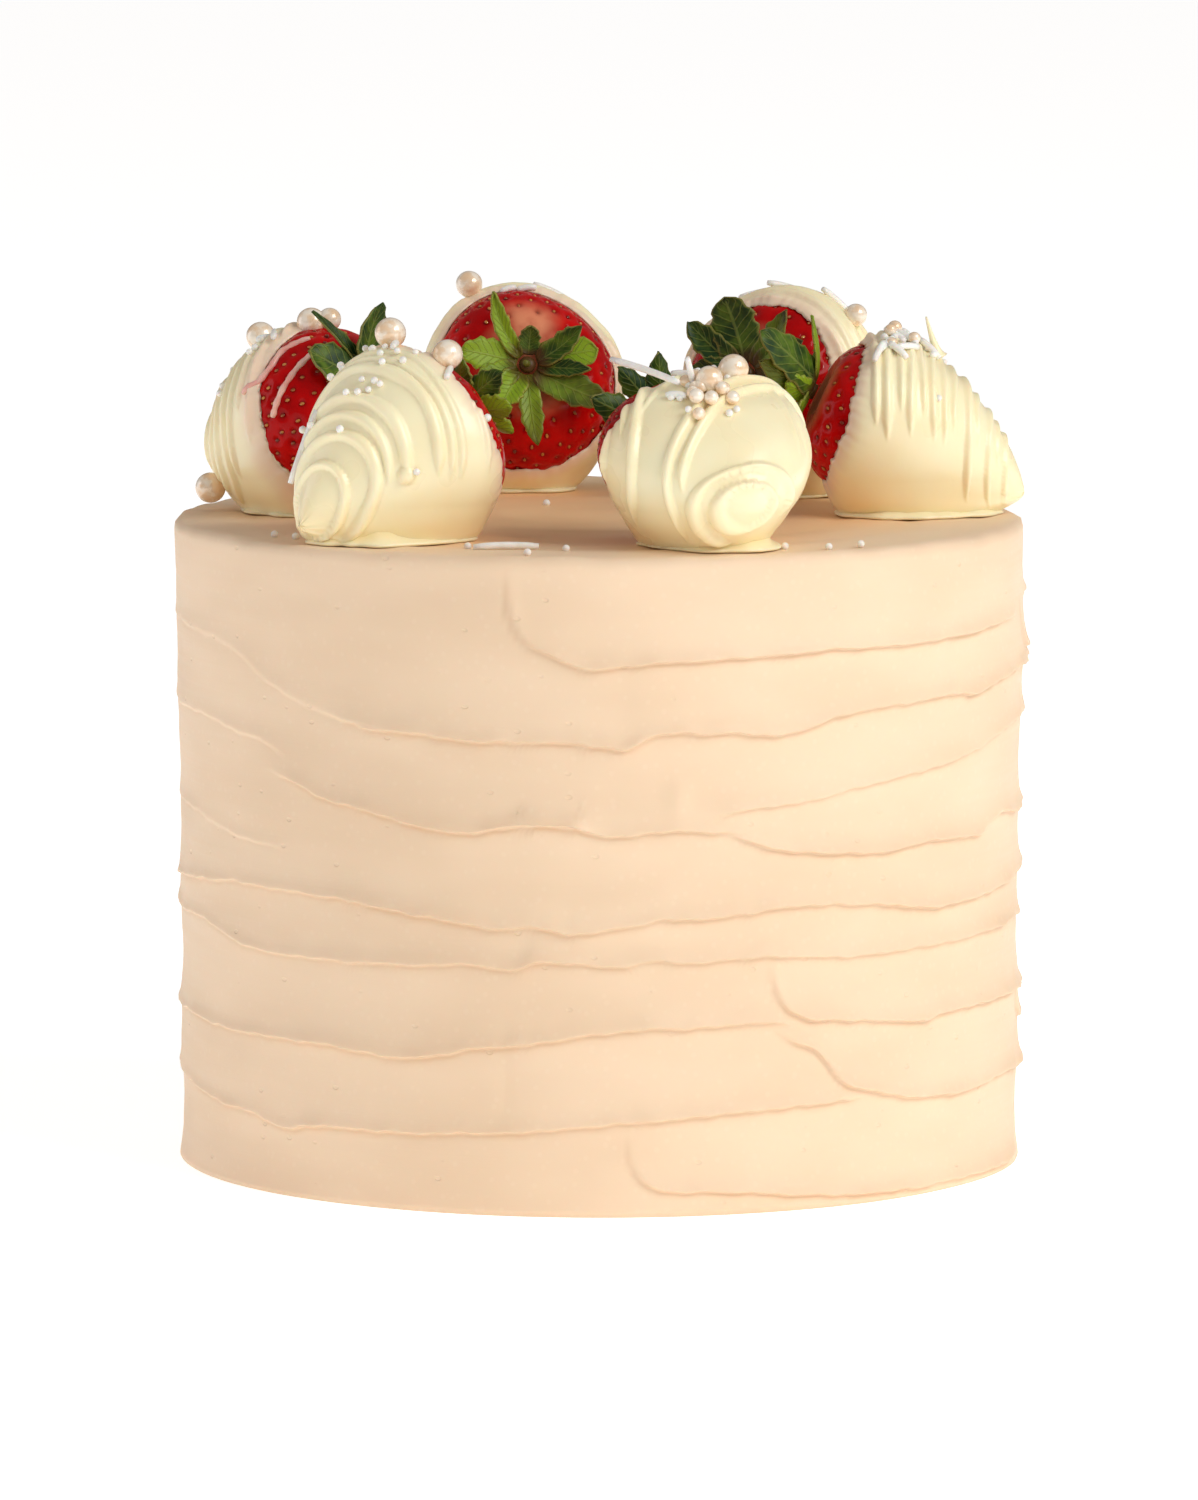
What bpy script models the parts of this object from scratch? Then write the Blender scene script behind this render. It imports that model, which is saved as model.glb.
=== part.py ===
"""A tall round strawberry cake: peach buttercream put on with a palette knife, and six strawberries
dipped in white chocolate, drizzled and dressed with sugar pearls, lying in a ring on its top.

Metres, +Z up, origin at the middle of the underside. The front of the cake faces -Y, and an angle on
its side counts in degrees from the front, growing towards +X."""

import math
import random
from typing import NamedTuple

import bmesh
import bpy
import numpy as np
from mathutils import Matrix, Quaternion, Vector
from mathutils.bvhtree import BVHTree

MM = 0.001
RESTING_GAP = 0.3 * MM

# The cake: its outline from the underside up, as (height, radius) in mm, before the knife's ridges
CAKE_HEIGHT = 121 * MM
CAKE_OUTLINE = ((0, 79.6), (3, 79.2), (25, 78.9), (60, 79.0), (95, 79.6), (121, 80.1))
TOP_EDGE_ROUND = 1.6 * MM
COLUMNS = 74
SIDE_ROWS = 33
TOP_RINGS = 1
FINE_STEPS = 420
STEEPNESS_PULL = 9.0

# How the buttercream stands at the lower edge of a sweep of the knife, in mm
LIP_HEIGHT_SHARE = 0.45
LIP_WIDTH = 1.1
STEP_WIDTH = 0.45
UNDERCUT_SHARE = 0.35
UNDERCUT_WIDTH = 2.2
FADE_DEGREES = 9.0
CORNER_ROUND = 9.0
ROUND_START_FADE = 0.5


class Sweep(NamedTuple):
    """One sweep of the knife. Its lower edge is a few (degrees, mm) points, and it stands depth mm proud.
    A sweep with a round start begins where the knife was set down and fades upwards; others fade in."""

    edge: tuple
    depth: float = 1.0
    band: float = 11.0
    round_start: bool = False


FRONT_SWEEPS = (
    Sweep(((-13, 102), (4, 101.5), (20, 102.3), (45, 103.5), (85, 104)), 1.15, 17, True),
    Sweep(((-128, 105), (-90, 103.5), (-70, 102), (-50, 99), (-38, 96)), 0.75, 14),
    Sweep(((-52, 95), (-40, 91), (-28, 88), (0, 87), (20, 88.3), (45, 92), (60, 92), (98, 95)), 1.1, 13),
    Sweep(((-112, 88), (-64, 86.5), (-50, 84), (-40, 80)), 0.6, 11),
    Sweep(((-56, 80), (-44, 77.3), (-30, 73.2), (-20, 70.6), (0, 70.5), (24, 70)), 1.0, 13),
    Sweep(((12, 74), (24, 74.8), (45, 78.7), (70, 83.5), (105, 86)), 0.9, 11),
    Sweep(((17.5, 68.8), (30, 65.8), (40, 65), (50, 66), (60, 65), (78, 67.3), (108, 67)), 1.0, 9, True),
    Sweep(((-118, 70), (-85, 69), (-60, 66.3), (-44, 64)), 0.65, 12),
    Sweep(((-108, 51), (-77, 54.6), (-55, 57.3), (-30, 55.8), (-3, 52.3), (28, 56.5), (52, 53.3), (98, 56))),
    Sweep(((-95, 50), (-70, 48), (-58, 45.2), (-35, 45), (0, 46.6), (22, 47.3), (40, 46), (90, 47.5)), 1, 8),
    Sweep(((24.3, 36), (45, 33.2), (49, 32.3), (55, 33.3), (80, 33), (112, 32)), 1.0, 12, True),
    Sweep(((-122, 28), (-80, 29.3), (-45, 29.6), (-29, 28.4), (0, 34.2), (22, 35), (32, 34)), 1.0, 11),
    Sweep(((22, 36), (26, 32), (31, 27.6), (34, 23), (42, 20), (60, 17.5), (110, 18.5)), 1.0, 12),
    Sweep(((-116, 18), (-80, 16.7), (-50, 13.2), (-20, 15), (10, 18), (30, 19), (44, 19)), 1.0, 12),
    Sweep(((4.8, 9.5), (12, 6.6), (20, 4.2), (33, 2.2), (85, 1.6)), 0.9, 12, True),
)

# The sweeps that nobody sees from the front, laid by a rule of the same spacing
BACK_SEED = 7
BACK_LEVELS = 9
BACK_LOWEST = 15.0
BACK_SPACING = 11.6
BACK_FROM = 92.0
BACK_TO = 268.0

# What the strawberries and their coats of chocolate have in common
BERRY_SIDES = 14
BERRY_RINGS = 8
SHOULDER_POWER = 0.38
STALK_HOLLOW = 2.2 * MM
STALK_HOLLOW_RADIUS = 5.0 * MM
MIDDLE_SHARE = 0.45
COAT_GAP = 0.35 * MM
COAT_THICKNESS = 1.4 * MM
COAT_FLATTENING = 0.3 * MM
SKIRT_HEIGHT = 7.0 * MM
SKIRT_SPREAD = 3.0 * MM
SKIRT_SLUMP = 0.25


class Strawberry(NamedTuple):
    """A dipped strawberry. around and ring place it on the cake, and it points the way its tip points, both
    ways counted in degrees from +X. droop is how far its tip leans down, and taper sharpens the tip. bare is
    the share of its length, from the stalk, that the chocolate leaves bare, and slant and tilt lean the
    chocolate's edge sideways and up. Lengths are in mm."""

    name: str
    around: float
    ring: float
    points: float
    droop: float
    length: float
    width: float
    tallness: float
    taper: float
    bare: float
    slant: float
    tilt: float
    sepals: int
    sepal: float


STRAWBERRIES = (
    Strawberry("front_left", -130, 58.7, -145, 28, 39, 36.4, 0.92, 0.95, 0.10, 0.05, 0.05, 9, 9),
    Strawberry("front_right", -70.6, 58, -66, 14, 39, 37.6, 0.74, 0.64, 0.15, 0.05, 0.10, 8, 8),
    Strawberry("right", 4.6, 58, 2, 25, 41.5, 33.6, 0.88, 0.87, 0.15, 0.00, 0.15, 8, 10),
    Strawberry("back_right", 51, 58, 64, 18, 43, 35.2, 1.00, 0.75, 0.15, -0.03, 0.10, 9, 13),
    Strawberry("back_left", 105, 57, 93, 20, 42, 35.0, 1.05, 0.70, 0.22, -0.07, 0.00, 9, 15),
    Strawberry("left", 175, 55.5, 140, 22, 43, 32.6, 1.00, 0.80, 0.25, -0.20, 0.15, 8, 13),
)

# The lines of thicker chocolate piped across each strawberry, as shares of its length
DRIZZLE_LINES = 3
DRIZZLE_NEAR_STALK = 0.42
DRIZZLE_FROM_EDGE = 0.14
DRIZZLE_NEAR_TIP = 0.80
DRIZZLE_SPREAD = 0.024
DRIZZLE_LIFT = 0.75 * MM
DRIZZLE_ENDS = (80, 125)
SHOULDER_SHARES = (0.04, 0.14, 0.27)
TIP_SHARES = (0.9, 0.965)

# Sugar pearls in mm, as (strawberry, share of the length, degrees round from the top, diameter)
PEARL_SUNK_SHARE = 0.13
PEARLS = (
    ("front_left", 0.17, -13, 5.8),
    ("front_left", 0.17, 22, 5.6),
    ("front_right", 0.38, 25, 5.8),
    ("front_right", 0.48, -1, 5.0),
    ("front_right", 0.54, -22, 2.8),
    ("front_right", 0.65, -21, 2.6),
    ("front_right", 0.63, 2, 2.8),
    ("right", 0.21, -8, 2.8),
    ("right", 0.22, -30, 2.6),
    ("right", 0.29, -18, 2.6),
    ("back_right", 0.30, -44, 4.4),
    ("back_left", 0.41, 25, 4.8),
    ("left", 0.53, 0, 5.6),
    ("left", 0.29, 10, 5.6),
    ("left", 0.27, -14, 4.2),
    ("left", 0.90, 125, 5.8),
)

# Short sugar strands, as (strawberry, share of the length, degrees round from the top, length in mm, degrees
# that it is turned from the strawberry's own length)
STRAND_DIAMETER = 1.3 * MM
STRAND_SUNK_SHARE = 0.25
STRANDS = (
    ("front_left", 0.78, -48, 11, 10),
    ("front_right", 0.36, -30, 9, 12),
    ("right", 0.34, -10, 8, 8),
    ("back_right", 0.40, 8, 7, 40),
    ("back_left", 0.42, 8, 8, 80),
    ("left", 0.66, 24, 7, 60),
)

# The finer sprinkles: tiny balls scattered round the top of each strawberry
SPRINKLE_SEED = 21
BALLS_EACH = 3
BALL_DIAMETER = 1.7 * MM
BALL_SUNK_SHARE = 0.22
BALLS_FROM_EDGE = 0.14
BALLS_BETWEEN = (0.34, 0.70)
BALLS_REACH = 40

# What fell on the cake, as (x, y, length, heading in degrees) and (x, y) in mm
FALLEN_STRAND = (-17.0, -63.0, 12.0, 7.0)
FALLEN_BALLS = ((-13.0, -73.0), (42.0, -63.0), (-56.0, -44.0))

# The green calyx on each stalk end
SEPAL_LENGTHS = (0.8, 1.1)
SEPAL_SLIMNESS = 0.44
SEPAL_THICKNESS = 0.6 * MM
CALYX_HUB = 3.4 * MM
CALYX_CLEARANCE = 1.2 * MM
CALYX_SEED = 5

BUTTERCREAM = ("buttercream", (0.90, 0.66, 0.45), 0.55)
BERRY_SKIN = ("strawberry_skin", (0.50, 0.010, 0.012), 0.28)
WHITE_CHOCOLATE = ("white_chocolate", (0.90, 0.80, 0.55), 0.35)
LEAF_GREEN = ("leaf", (0.09, 0.16, 0.02), 0.50)


def clear_scene():
    for thing in list(bpy.data.objects):
        bpy.data.objects.remove(thing, do_unlink=True)


def material(finish):
    name, colour, roughness = finish
    made = bpy.data.materials.get(name) or bpy.data.materials.new(name)
    made.use_nodes = True
    shader = made.node_tree.nodes["Principled BSDF"]
    shader.inputs["Base Color"].default_value = (*colour, 1)
    shader.inputs["Roughness"].default_value = roughness
    shader.inputs["Metallic"].default_value = 0
    return made


def object_from(bm, name, finish):
    """A new object that holds the mesh, shaded smooth but for its sharp edges."""
    bmesh.ops.recalc_face_normals(bm, faces=bm.faces)
    mesh = bpy.data.meshes.new(name)
    bm.to_mesh(mesh)
    bm.free()
    mesh.shade_smooth()
    mesh.set_sharp_from_angle(angle=math.radians(50))
    mesh.materials.append(material(finish))
    made = bpy.data.objects.new(name, mesh)
    bpy.context.scene.collection.objects.link(made)
    return made


def smoothstep(low, high, value):
    share = np.clip((value - low) / (high - low), 0, 1)
    return share * share * (3 - 2 * share)


def smooth_min(a, b, reach):
    """The smaller of two distances, rounded where they are nearly the same."""
    share = np.clip(0.5 + 0.5 * (b - a) / reach, 0, 1)
    return b + (a - b) * share - reach * share * (1 - share)


def through(points, x):
    """A smooth curve through the points, read at x, and level beyond its ends."""
    px, py = (np.array(values, float) for values in zip(*points))
    slope = np.gradient(py, px)
    x = np.clip(x, px[0], px[-1])
    i = np.clip(np.searchsorted(px, x, side="right") - 1, 0, len(px) - 2)
    span = px[i + 1] - px[i]
    t = (x - px[i]) / span
    back = 1 - t
    return (
        (1 + 2 * t) * back * back * py[i]
        + t * back * back * span * slope[i]
        + t * t * (3 - 2 * t) * py[i + 1]
        - t * t * back * span * slope[i + 1]
    )


def back_sweeps():
    """Sweeps across the back, evenly spaced up the side, with the ups and downs of the front ones."""
    draw = random.Random(BACK_SEED)
    made = []
    for level in range(BACK_LEVELS):
        height = BACK_LOWEST + BACK_SPACING * level
        first = BACK_FROM + draw.uniform(-14, 30)
        last = BACK_TO + draw.uniform(-30, 14)
        steps = 6
        edge = tuple(
            (first + (last - first) * k / steps, height + draw.uniform(-2.2, 2.2))
            for k in range(steps + 1)
        )
        made.append(Sweep(edge, draw.uniform(0.75, 1.1), 11.5, level % 3 == 1))
    return tuple(made)


def sweep_lift(sweep, angle, height):
    """How far in mm one sweep's buttercream stands out, at an angle in degrees and a height in mm."""
    first, last = sweep.edge[0][0], sweep.edge[-1][0]
    middle = (first + last) / 2
    angle = (angle - middle + 180) % 360 - 180 + middle
    arc = 2 * math.pi * CAKE_OUTLINE[2][1] / 360
    edge = through(sweep.edge, angle)
    lean = (through(sweep.edge, angle + 1) - through(sweep.edge, angle - 1)) / (2 * arc)
    above = (height - edge) / np.sqrt(1 + lean * lean)
    share = np.clip(1 - above / sweep.band, 0, 1)
    shown = 1 - smoothstep(last - FADE_DEGREES, last, angle)
    if sweep.round_start:
        above = smooth_min(above, (angle - first) * arc, CORNER_ROUND)
        shown = shown * smoothstep(0, ROUND_START_FADE, share)
    else:
        shown = shown * smoothstep(first, first + FADE_DEGREES, angle)
    lip = np.exp(-((above / LIP_WIDTH) ** 2))
    proud = (1 - LIP_HEIGHT_SHARE) * share * share + LIP_HEIGHT_SHARE * lip
    below = UNDERCUT_SHARE * np.exp(np.minimum(above, 0) / UNDERCUT_WIDTH)
    step = smoothstep(-STEP_WIDTH, 0, above)
    return sweep.depth * shown * (below + (proud - below) * step)


def side_radius(angle, height):
    """The cake's radius in mm at an angle in degrees and a height in mm, ridges included."""
    radius = through(CAKE_OUTLINE, height) + 0.0 * angle
    for sweep in FRONT_SWEEPS + back_sweeps():
        radius = radius + sweep_lift(sweep, angle, height)
    return radius


def cake_columns():
    """The cake's skin as points (radius, height) in metres, by column and row, from the underside's edge up
    the side, round the top edge and in to the middle. Rows lie closest where the side is steepest."""
    fine = np.linspace(0, (CAKE_HEIGHT - TOP_EDGE_ROUND) / MM, FINE_STEPS)
    angles = np.arange(COLUMNS) * 360 / COLUMNS
    radii = side_radius(angles[:, None], fine[None, :])
    turn = np.linspace(0, math.pi / 2, 9)[1:]
    columns = []
    for radius in radii:
        inner = radius[-1] - TOP_EDGE_ROUND / MM
        r = np.concatenate([radius, inner + TOP_EDGE_ROUND / MM * np.cos(turn)])
        z = np.concatenate([fine, fine[-1] + TOP_EDGE_ROUND / MM * np.sin(turn)])
        length = np.hypot(np.diff(r), np.diff(z)) + STEEPNESS_PULL * np.abs(np.diff(r)) * (z[1:] <= fine[-1])
        walked = np.concatenate([[0], np.cumsum(length)])
        wanted = np.linspace(0, walked[-1], SIDE_ROWS + 1)
        side = np.stack([np.interp(wanted, walked, r), np.interp(wanted, walked, z)], axis=1)
        rings = np.linspace(inner, 0, TOP_RINGS + 1)[1:]
        top = np.stack([rings, np.full(TOP_RINGS, z[-1])], axis=1)
        columns.append(np.concatenate([side, top]) * MM)
    return columns


def wrapped_grid(columns, rows, place):
    """A grid wrapped round an axis: place(column, row) gives each point, and the seam and the ends merge."""
    bm = bmesh.new()
    bmesh.ops.create_grid(bm, x_segments=columns, y_segments=rows, size=1)
    for vert in bm.verts:
        column = round((vert.co.x + 1) / 2 * columns) % columns
        row = round((vert.co.y + 1) / 2 * rows)
        vert.co = place(column, row)
    bmesh.ops.remove_doubles(bm, verts=bm.verts, dist=1e-5)
    return bm


def cake_point(columns, column, row):
    radius, height = columns[column][row]
    turn = math.radians(column * 360 / COLUMNS)
    return Vector((radius * math.sin(turn), -radius * math.cos(turn), height))


def build_cake():
    """The frosted cake with the few sprinkles that fell on its top."""
    columns = cake_columns()
    bm = wrapped_grid(COLUMNS, SIDE_ROWS + TOP_RINGS, lambda column, row: cake_point(columns, column, row))
    bmesh.ops.holes_fill(bm, edges=[e for e in bm.edges if e.is_boundary], sides=0)
    cake = object_from(bm, "cake", BUTTERCREAM)
    x, y, length, heading = FALLEN_STRAND
    lying = Matrix.Rotation(math.radians(heading), 3, "Z") @ Vector((1, 0, 0))
    centre = Vector((x * MM, y * MM, CAKE_HEIGHT + STRAND_DIAMETER * STRAND_SUNK_SHARE))
    pieces = [strand("fallen_strand", centre, lying, length * MM)]
    for number, (x, y) in enumerate(FALLEN_BALLS):
        centre = Vector((x * MM, y * MM, CAKE_HEIGHT + BALL_DIAMETER * BALL_SUNK_SHARE))
        pieces.append(ball(f"fallen_ball_{number}", centre, BALL_DIAMETER, 1))
    fuse(cake, pieces)
    return cake


def ball(name, centre, diameter, fineness):
    bm = bmesh.new()
    bmesh.ops.create_icosphere(bm, subdivisions=fineness, radius=diameter / 2)
    bmesh.ops.translate(bm, verts=bm.verts, vec=centre)
    return object_from(bm, name, WHITE_CHOCOLATE)


def strand(name, centre, along, length):
    """A short straight sugar strand."""
    bm = bmesh.new()
    bmesh.ops.create_cone(
        bm, cap_ends=True, segments=5, radius1=STRAND_DIAMETER / 2, radius2=STRAND_DIAMETER / 2, depth=length
    )
    aim = along.to_track_quat("Z", "Y").to_matrix().to_4x4()
    bmesh.ops.transform(bm, matrix=Matrix.Translation(centre) @ aim, verts=bm.verts)
    return object_from(bm, name, WHITE_CHOCOLATE)


def applied(thing):
    """Makes the modified mesh the object's own."""
    bpy.context.view_layer.update()
    seen = thing.evaluated_get(bpy.context.evaluated_depsgraph_get())
    mesh = bpy.data.meshes.new_from_object(seen)
    thing.modifiers.clear()
    thing.data = mesh


def fuse(base, pieces):
    """Joins the pieces to the base as one closed body, and removes them."""
    group = bpy.data.collections.new(base.name + "_pieces")
    bpy.context.scene.collection.children.link(group)
    for piece in pieces:
        bpy.context.scene.collection.objects.unlink(piece)
        group.objects.link(piece)
    join = base.modifiers.new("join", "BOOLEAN")
    join.operation = "UNION"
    join.operand_type = "COLLECTION"
    join.collection = group
    join.solver = "MANIFOLD"
    applied(base)
    for piece in list(group.objects):
        bpy.data.objects.remove(piece, do_unlink=True)
    bpy.data.collections.remove(group)
    drop_scraps(base)


def drop_scraps(thing):
    """Keeps the largest connected body of a mesh, and drops loose scraps and sealed hollows."""
    bm = bmesh.new()
    bm.from_mesh(thing.data)
    left = set(bm.verts)
    islands = []
    while left:
        island, edge_of = set(), [left.pop()]
        while edge_of:
            vert = edge_of.pop()
            island.add(vert)
            for edge in vert.link_edges:
                other = edge.other_vert(vert)
                if other in left:
                    left.discard(other)
                    edge_of.append(other)
        islands.append(island)
    islands.sort(key=len)
    for island in islands[:-1]:
        bmesh.ops.delete(bm, geom=list(island), context="VERTS")
    bm.to_mesh(thing.data)
    bm.free()


def body_share(taper, share):
    """A strawberry's radius at a share of its length from the stalk, as a share of its largest radius."""
    widest = SHOULDER_POWER / (SHOULDER_POWER + taper)
    largest = widest**SHOULDER_POWER * (1 - widest) ** taper
    return share**SHOULDER_POWER * (1 - share) ** taper / largest


def berry_point(berry, share, turn):
    """A point of the strawberry's skin. Its axis is +X from stalk to tip, and turn counts from its top."""
    radius = berry.width / 2 * MM * body_share(berry.taper, share)
    lobes = 1 + 0.025 * math.cos(2 * turn + berry.around) + 0.02 * math.cos(3 * turn + berry.points)
    hollow = STALK_HOLLOW * math.exp(-((radius / STALK_HOLLOW_RADIUS) ** 2)) * (share < 0.5)
    along = (share - MIDDLE_SHARE) * berry.length * MM + hollow
    return Vector(
        (along, radius * lobes * math.sin(turn), radius * lobes * berry.tallness * math.cos(turn))
    )


def berry_skin(berry):
    """The strawberry's closed skin, with its rings closest at both ends."""

    def place(column, row):
        share = (1 - math.cos(math.pi * row / BERRY_RINGS)) / 2
        return berry_point(berry, share, 2 * math.pi * column / BERRY_SIDES)

    bm = wrapped_grid(BERRY_SIDES, BERRY_RINGS, place)
    bmesh.ops.triangulate(bm, faces=bm.faces)
    bmesh.ops.recalc_face_normals(bm, faces=bm.faces)
    return bm


def turned(berry):
    """The strawberry's lean and direction."""
    direction = Matrix.Rotation(math.radians(berry.points), 4, "Z")
    return direction @ Matrix.Rotation(math.radians(berry.droop), 4, "Y")


def swell(bm, distance):
    """Moves a skin outwards along its own normals."""
    bm.normal_update()
    moves = [(vert, vert.normal * distance) for vert in bm.verts]
    for vert, move in moves:
        vert.co += move


def place_of(berry):
    """An empty at the strawberry's middle, which sets its coat on the top of the cake."""
    around = math.radians(berry.around)
    skin = berry_skin(berry)
    swell(skin, COAT_GAP + COAT_THICKNESS)
    lean = turned(berry)
    lowest = min((lean @ vert.co).z for vert in skin.verts)
    skin.free()
    height = CAKE_HEIGHT + RESTING_GAP - COAT_FLATTENING - lowest
    place = bpy.data.objects.new(f"place_{berry.name}", None)
    place.location = (berry.ring * MM * math.cos(around), berry.ring * MM * math.sin(around), height)
    place.rotation_euler = lean.to_euler()
    bpy.context.scene.collection.objects.link(place)
    bpy.context.view_layer.update()
    return place


def coat_rows(berry):
    """The rings of the coat's outside as (share of the length, sideways slide, lift), from stalk to tip.
    Each line of drizzle is three of them: its two feet and its ridge."""
    draw = random.Random(berry.name)
    first = max(DRIZZLE_NEAR_STALK, berry.bare + DRIZZLE_FROM_EDGE)
    spacing = (DRIZZLE_NEAR_TIP - first) / (DRIZZLE_LINES - 1)
    rows = [(0, 0, 0)] + [(share, 0, 0) for share in SHOULDER_SHARES]
    for number in range(DRIZZLE_LINES):
        middle = first + number * spacing + draw.uniform(-0.02, 0.02)
        slide = draw.uniform(-0.035, 0.035)
        rows += [(middle - DRIZZLE_SPREAD, slide, 0), (middle, slide, DRIZZLE_LIFT)]
        rows += [(middle + DRIZZLE_SPREAD, slide, 0)]
    return rows + [(share, 0, 0) for share in TIP_SHARES] + [(1, 0, 0)]


def coat_outside(berry):
    """The closed outside of the coat before it is hollowed, drizzle included."""
    rows = coat_rows(berry)

    def place(column, row):
        share, slide, lift = rows[row]
        turn = 2 * math.pi * column / BERRY_SIDES
        from_top = abs((math.degrees(turn) + 180) % 360 - 180)
        lift = lift * (1 - smoothstep(*DRIZZLE_ENDS, from_top))
        outwards = Vector((0, math.sin(turn), math.cos(turn)))
        return berry_point(berry, share + slide * math.sin(turn), turn) + outwards * lift

    bm = wrapped_grid(BERRY_SIDES, len(rows) - 1, place)
    bmesh.ops.recalc_face_normals(bm, faces=bm.faces)
    swell(bm, COAT_GAP + COAT_THICKNESS)
    return bm


def run_down(bm, berry, upright):
    """Lets the soft chocolate run down: near the cake its outside slumps and spreads into a skirt."""
    floor = CAKE_HEIGHT + RESTING_GAP
    bm.normal_update()
    moved = []
    for vert in bm.verts:
        world = upright @ vert.co
        outwards = upright.to_3x3() @ vert.normal
        outwards.z = 0
        share = max(0, (world.z - floor) / SKIRT_HEIGHT)
        if share < 1:
            dipped = smoothstep(berry.bare, berry.bare + 0.2, vert.co.x / (berry.length * MM) + MIDDLE_SHARE)
            sideways = min(1, 2 * outwards.length)
            world += outwards.normalized() * SKIRT_SPREAD * sideways * (1 - share) ** 2 * dipped
            slumped = max(0, (share - SKIRT_SLUMP) / (1 - SKIRT_SLUMP))
            world.z = floor + SKIRT_HEIGHT * (share + (slumped - share) * dipped)
        moved.append(upright.inverted() @ world)
    for vert, place in zip(bm.verts, moved):
        vert.co = place


def chocolate_coat(berry, place):
    """The white chocolate: run down and set where it stands on the cake, cut off at its edge past the stalk
    end, and hollowed by the strawberry's own shape with a small gap."""
    bm = coat_outside(berry)
    run_down(bm, berry, place.matrix_world)
    edge = Vector(((berry.bare - MIDDLE_SHARE) * berry.length * MM, 0, 0))
    across = Vector((1, berry.slant, berry.tilt))
    everything = list(bm.verts) + list(bm.edges) + list(bm.faces)
    bmesh.ops.bisect_plane(bm, geom=everything, dist=1e-5, plane_co=edge, plane_no=across, clear_inner=True)
    bmesh.ops.holes_fill(bm, edges=[e for e in bm.edges if e.is_boundary], sides=0)
    coat = object_from(bm, f"chocolate_coat_{berry.name}", WHITE_CHOCOLATE)
    coat.parent = place
    inside = berry_skin(berry)
    swell(inside, COAT_GAP)
    hollow = object_from(inside, "hollow", BERRY_SKIN)
    hollow.parent = place
    bpy.context.view_layer.update()
    cut = coat.modifiers.new("hollow", "BOOLEAN")
    cut.operation = "DIFFERENCE"
    cut.object = hollow
    cut.solver = "EXACT"
    applied(coat)
    bpy.data.objects.remove(hollow, do_unlink=True)
    drop_scraps(coat)
    return coat


def on_coat(skin, coat, berry, share, turn_degrees):
    """A point on the outside of the coat and the way it faces there, in the world."""
    turn = math.radians(turn_degrees)
    outwards = Vector((0, math.sin(turn), math.cos(turn)))
    centre = Vector(((share - MIDDLE_SHARE) * berry.length * MM, 0, 0))
    point, normal, _, _ = skin.ray_cast(centre + outwards * berry.width * MM, -outwards)
    return coat.matrix_world @ point, (coat.matrix_world.to_3x3() @ normal).normalized()


def decorations(berry, coat):
    """Everything that stuck to the coat: the pearls, the tiny balls and the strands."""
    bm = bmesh.new()
    bm.from_mesh(coat.data)
    skin = BVHTree.FromBMesh(bm)
    bm.free()
    pieces = []
    for number, (name, share, turn, diameter) in enumerate(PEARLS):
        if name != berry.name:
            continue
        where, facing = on_coat(skin, coat, berry, share, turn)
        centre = where + facing * diameter * MM * (0.5 - PEARL_SUNK_SHARE)
        pieces.append(ball(f"pearl_{number}", centre, diameter * MM, 2 if diameter > 4 else 1))
    draw = random.Random(f"{SPRINKLE_SEED} {berry.name}")
    near, far = max(berry.bare + BALLS_FROM_EDGE, BALLS_BETWEEN[0]), BALLS_BETWEEN[1]
    for number in range(BALLS_EACH):
        share, turn = draw.uniform(near, far), draw.uniform(-BALLS_REACH, BALLS_REACH)
        where, facing = on_coat(skin, coat, berry, share, turn)
        centre = where + facing * BALL_DIAMETER * BALL_SUNK_SHARE
        pieces.append(ball(f"ball_{number}", centre, BALL_DIAMETER, 1))
    for number, (name, share, turn, length, heading) in enumerate(STRANDS):
        if name != berry.name:
            continue
        where, facing = on_coat(skin, coat, berry, share, turn)
        along = facing.cross(coat.matrix_world.to_3x3() @ Vector((1, 0, 0))).cross(facing)
        along.rotate(Quaternion(facing, math.radians(heading)))
        centre = where + facing * STRAND_DIAMETER * STRAND_SUNK_SHARE
        pieces.append(strand(f"strand_{number}", centre, along.normalized(), length * MM))
    return pieces


def calyx(berry, place):
    """The star of green sepals on the stalk end: one sheet, curled, then thickened both ways alike."""
    draw = random.Random(f"{CALYX_SEED} {berry.name}")
    bm = bmesh.new()
    stalk_end = -MIDDLE_SHARE * berry.length * MM - CALYX_CLEARANCE
    centre = bm.verts.new((stalk_end + STALK_HOLLOW * 0.5, 0, 0))
    turns = [2 * math.pi * k / berry.sepals for k in range(berry.sepals)]
    corners = [(stalk_end, CALYX_HUB * math.sin(turn), CALYX_HUB * math.cos(turn)) for turn in turns]
    hub = [bm.verts.new(corner) for corner in corners]
    for k, turn in enumerate(turns):
        start, end = hub[k], hub[(k + 1) % berry.sepals]
        bm.faces.new((centre, start, end))
        sepal(bm, berry, start, end, turn + math.pi / berry.sepals, draw)
    made = object_from(bm, f"calyx_{berry.name}", LEAF_GREEN)
    made.parent = place
    sheet = made.modifiers.new("sheet", "SOLIDIFY")
    sheet.thickness = SEPAL_THICKNESS
    sheet.offset = 0
    return made


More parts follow.
